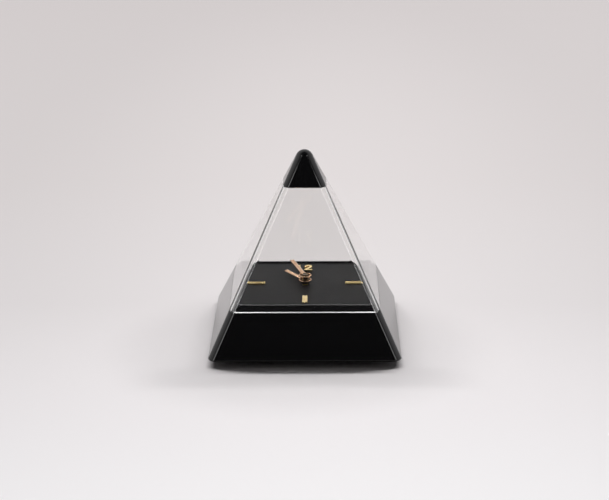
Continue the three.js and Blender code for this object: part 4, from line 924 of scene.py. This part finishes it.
# %% [markdown]
# ## Light
# The main light is a long, low soft box high behind the clock. It throws the short shadow in front of the
# base and lights the ground foot of the shell. A lamp close by would light the paper unevenly, so it
# stands many metres away and is large instead. The photograph shows no image of it in the top of the tip,
# so mirror reflections don't show it. Two slim soft boxes in front, well out to the sides, do the
# opposite: they draw the thin lines along the rounded corners and light nothing else.

# %% Place the lamps
FAR, MAIN_LIGHT = 12.0, 4.6
MAIN_AZIMUTH, MAIN_ELEVATION, MAIN_WIDE, MAIN_HIGH = 90, 54, 18.0, 0.6
SLIM_AZIMUTHS = {"right": -47, "left": -133}
SLIM_ELEVATION, SLIM_DISTANCE, SLIM_WIDE, SLIM_HIGH, SLIM_POWER = 32, 1.7, 0.3, 0.8, 2.4


def soft_box(name, azimuth, elevation, distance, width, height, power):
    """A rectangular soft box on a sphere round the clock, facing it. Azimuth is counted from +X towards
    +Y."""
    data = bpy.data.lights.new(name, "AREA")
    data.shape = "RECTANGLE"
    data.size, data.size_y, data.energy = width, height, power
    a, e = math.radians(azimuth), math.radians(elevation)
    place = Vector((math.cos(a) * math.cos(e), math.sin(a) * math.cos(e), math.sin(e))) * distance
    lamp = bpy.data.objects.new(name, data)
    lamp.location = place
    lamp.rotation_euler = (-place).to_track_quat("-Z", "Y").to_euler()
    bpy.context.scene.collection.objects.link(lamp)
    return lamp


main_power = MAIN_LIGHT * math.pi * FAR**2
main = soft_box("main_light", MAIN_AZIMUTH, MAIN_ELEVATION, FAR, MAIN_WIDE, MAIN_HIGH, main_power)
main.visible_glossy = False
for side, azimuth in SLIM_AZIMUTHS.items():
    slim = soft_box(f"soft_box_{side}", azimuth, SLIM_ELEVATION, SLIM_DISTANCE,
                    SLIM_WIDE, SLIM_HIGH, SLIM_POWER)
    slim.visible_diffuse = False

# %% [markdown]
# ## Light paths
# Light that enters the wall of the shell at a corner runs along inside it and is turned back at each side
# many times, as in a light guide. A renderer gives up after a few such turns and paints what is left
# black, so the limits on turns go up. Without this every corner of the shell shows a dark stripe.

# %% Let light run along the walls of the shell
paths = bpy.context.scene.cycles
paths.max_bounces, paths.glossy_bounces, paths.transmission_bounces = 32, 24, 24
paths.transparent_max_bounces = 24
print("turns allowed", paths.max_bounces)

# %% [markdown]
# ## Camera
# The camera's place was worked out beforehand from the corners of the clock in the photograph: a little
# under nineteen degrees above the table, a bit over a metre away, with a long lens. It is turned by less
# than a degree, because the photographer's camera was not quite level.

# %% Place the camera
ELEVATION, DISTANCE, FOCAL_PIXELS = math.radians(18.54), 1.135, 1645.0
IMAGE_WIDTH, SENSOR = 609, 36.0
TARGET = Vector((-0.00036, 0, 0.0607))
YAW, ROLL = math.radians(0.65), math.radians(-0.40)
back = Vector((0, -math.cos(ELEVATION), math.sin(ELEVATION))) * DISTANCE
camera_data = bpy.data.cameras.new("camera")
camera_data.sensor_width = SENSOR
camera_data.lens = FOCAL_PIXELS / IMAGE_WIDTH * SENSOR
camera = bpy.data.objects.new("camera", camera_data)
bpy.context.scene.collection.objects.link(camera)
camera.location = Matrix.Rotation(YAW, 3, "Z") @ (TARGET + back)
look = (TARGET - camera.location).to_track_quat("-Z", "Y").to_matrix() @ Matrix.Rotation(ROLL, 3, "Z")
camera.rotation_euler = look.to_euler()
bpy.context.scene.camera = camera
bpy.context.scene.view_settings.view_transform = "Standard"
print("camera at", [round(v, 4) for v in camera.location], "lens", round(camera_data.lens, 2))
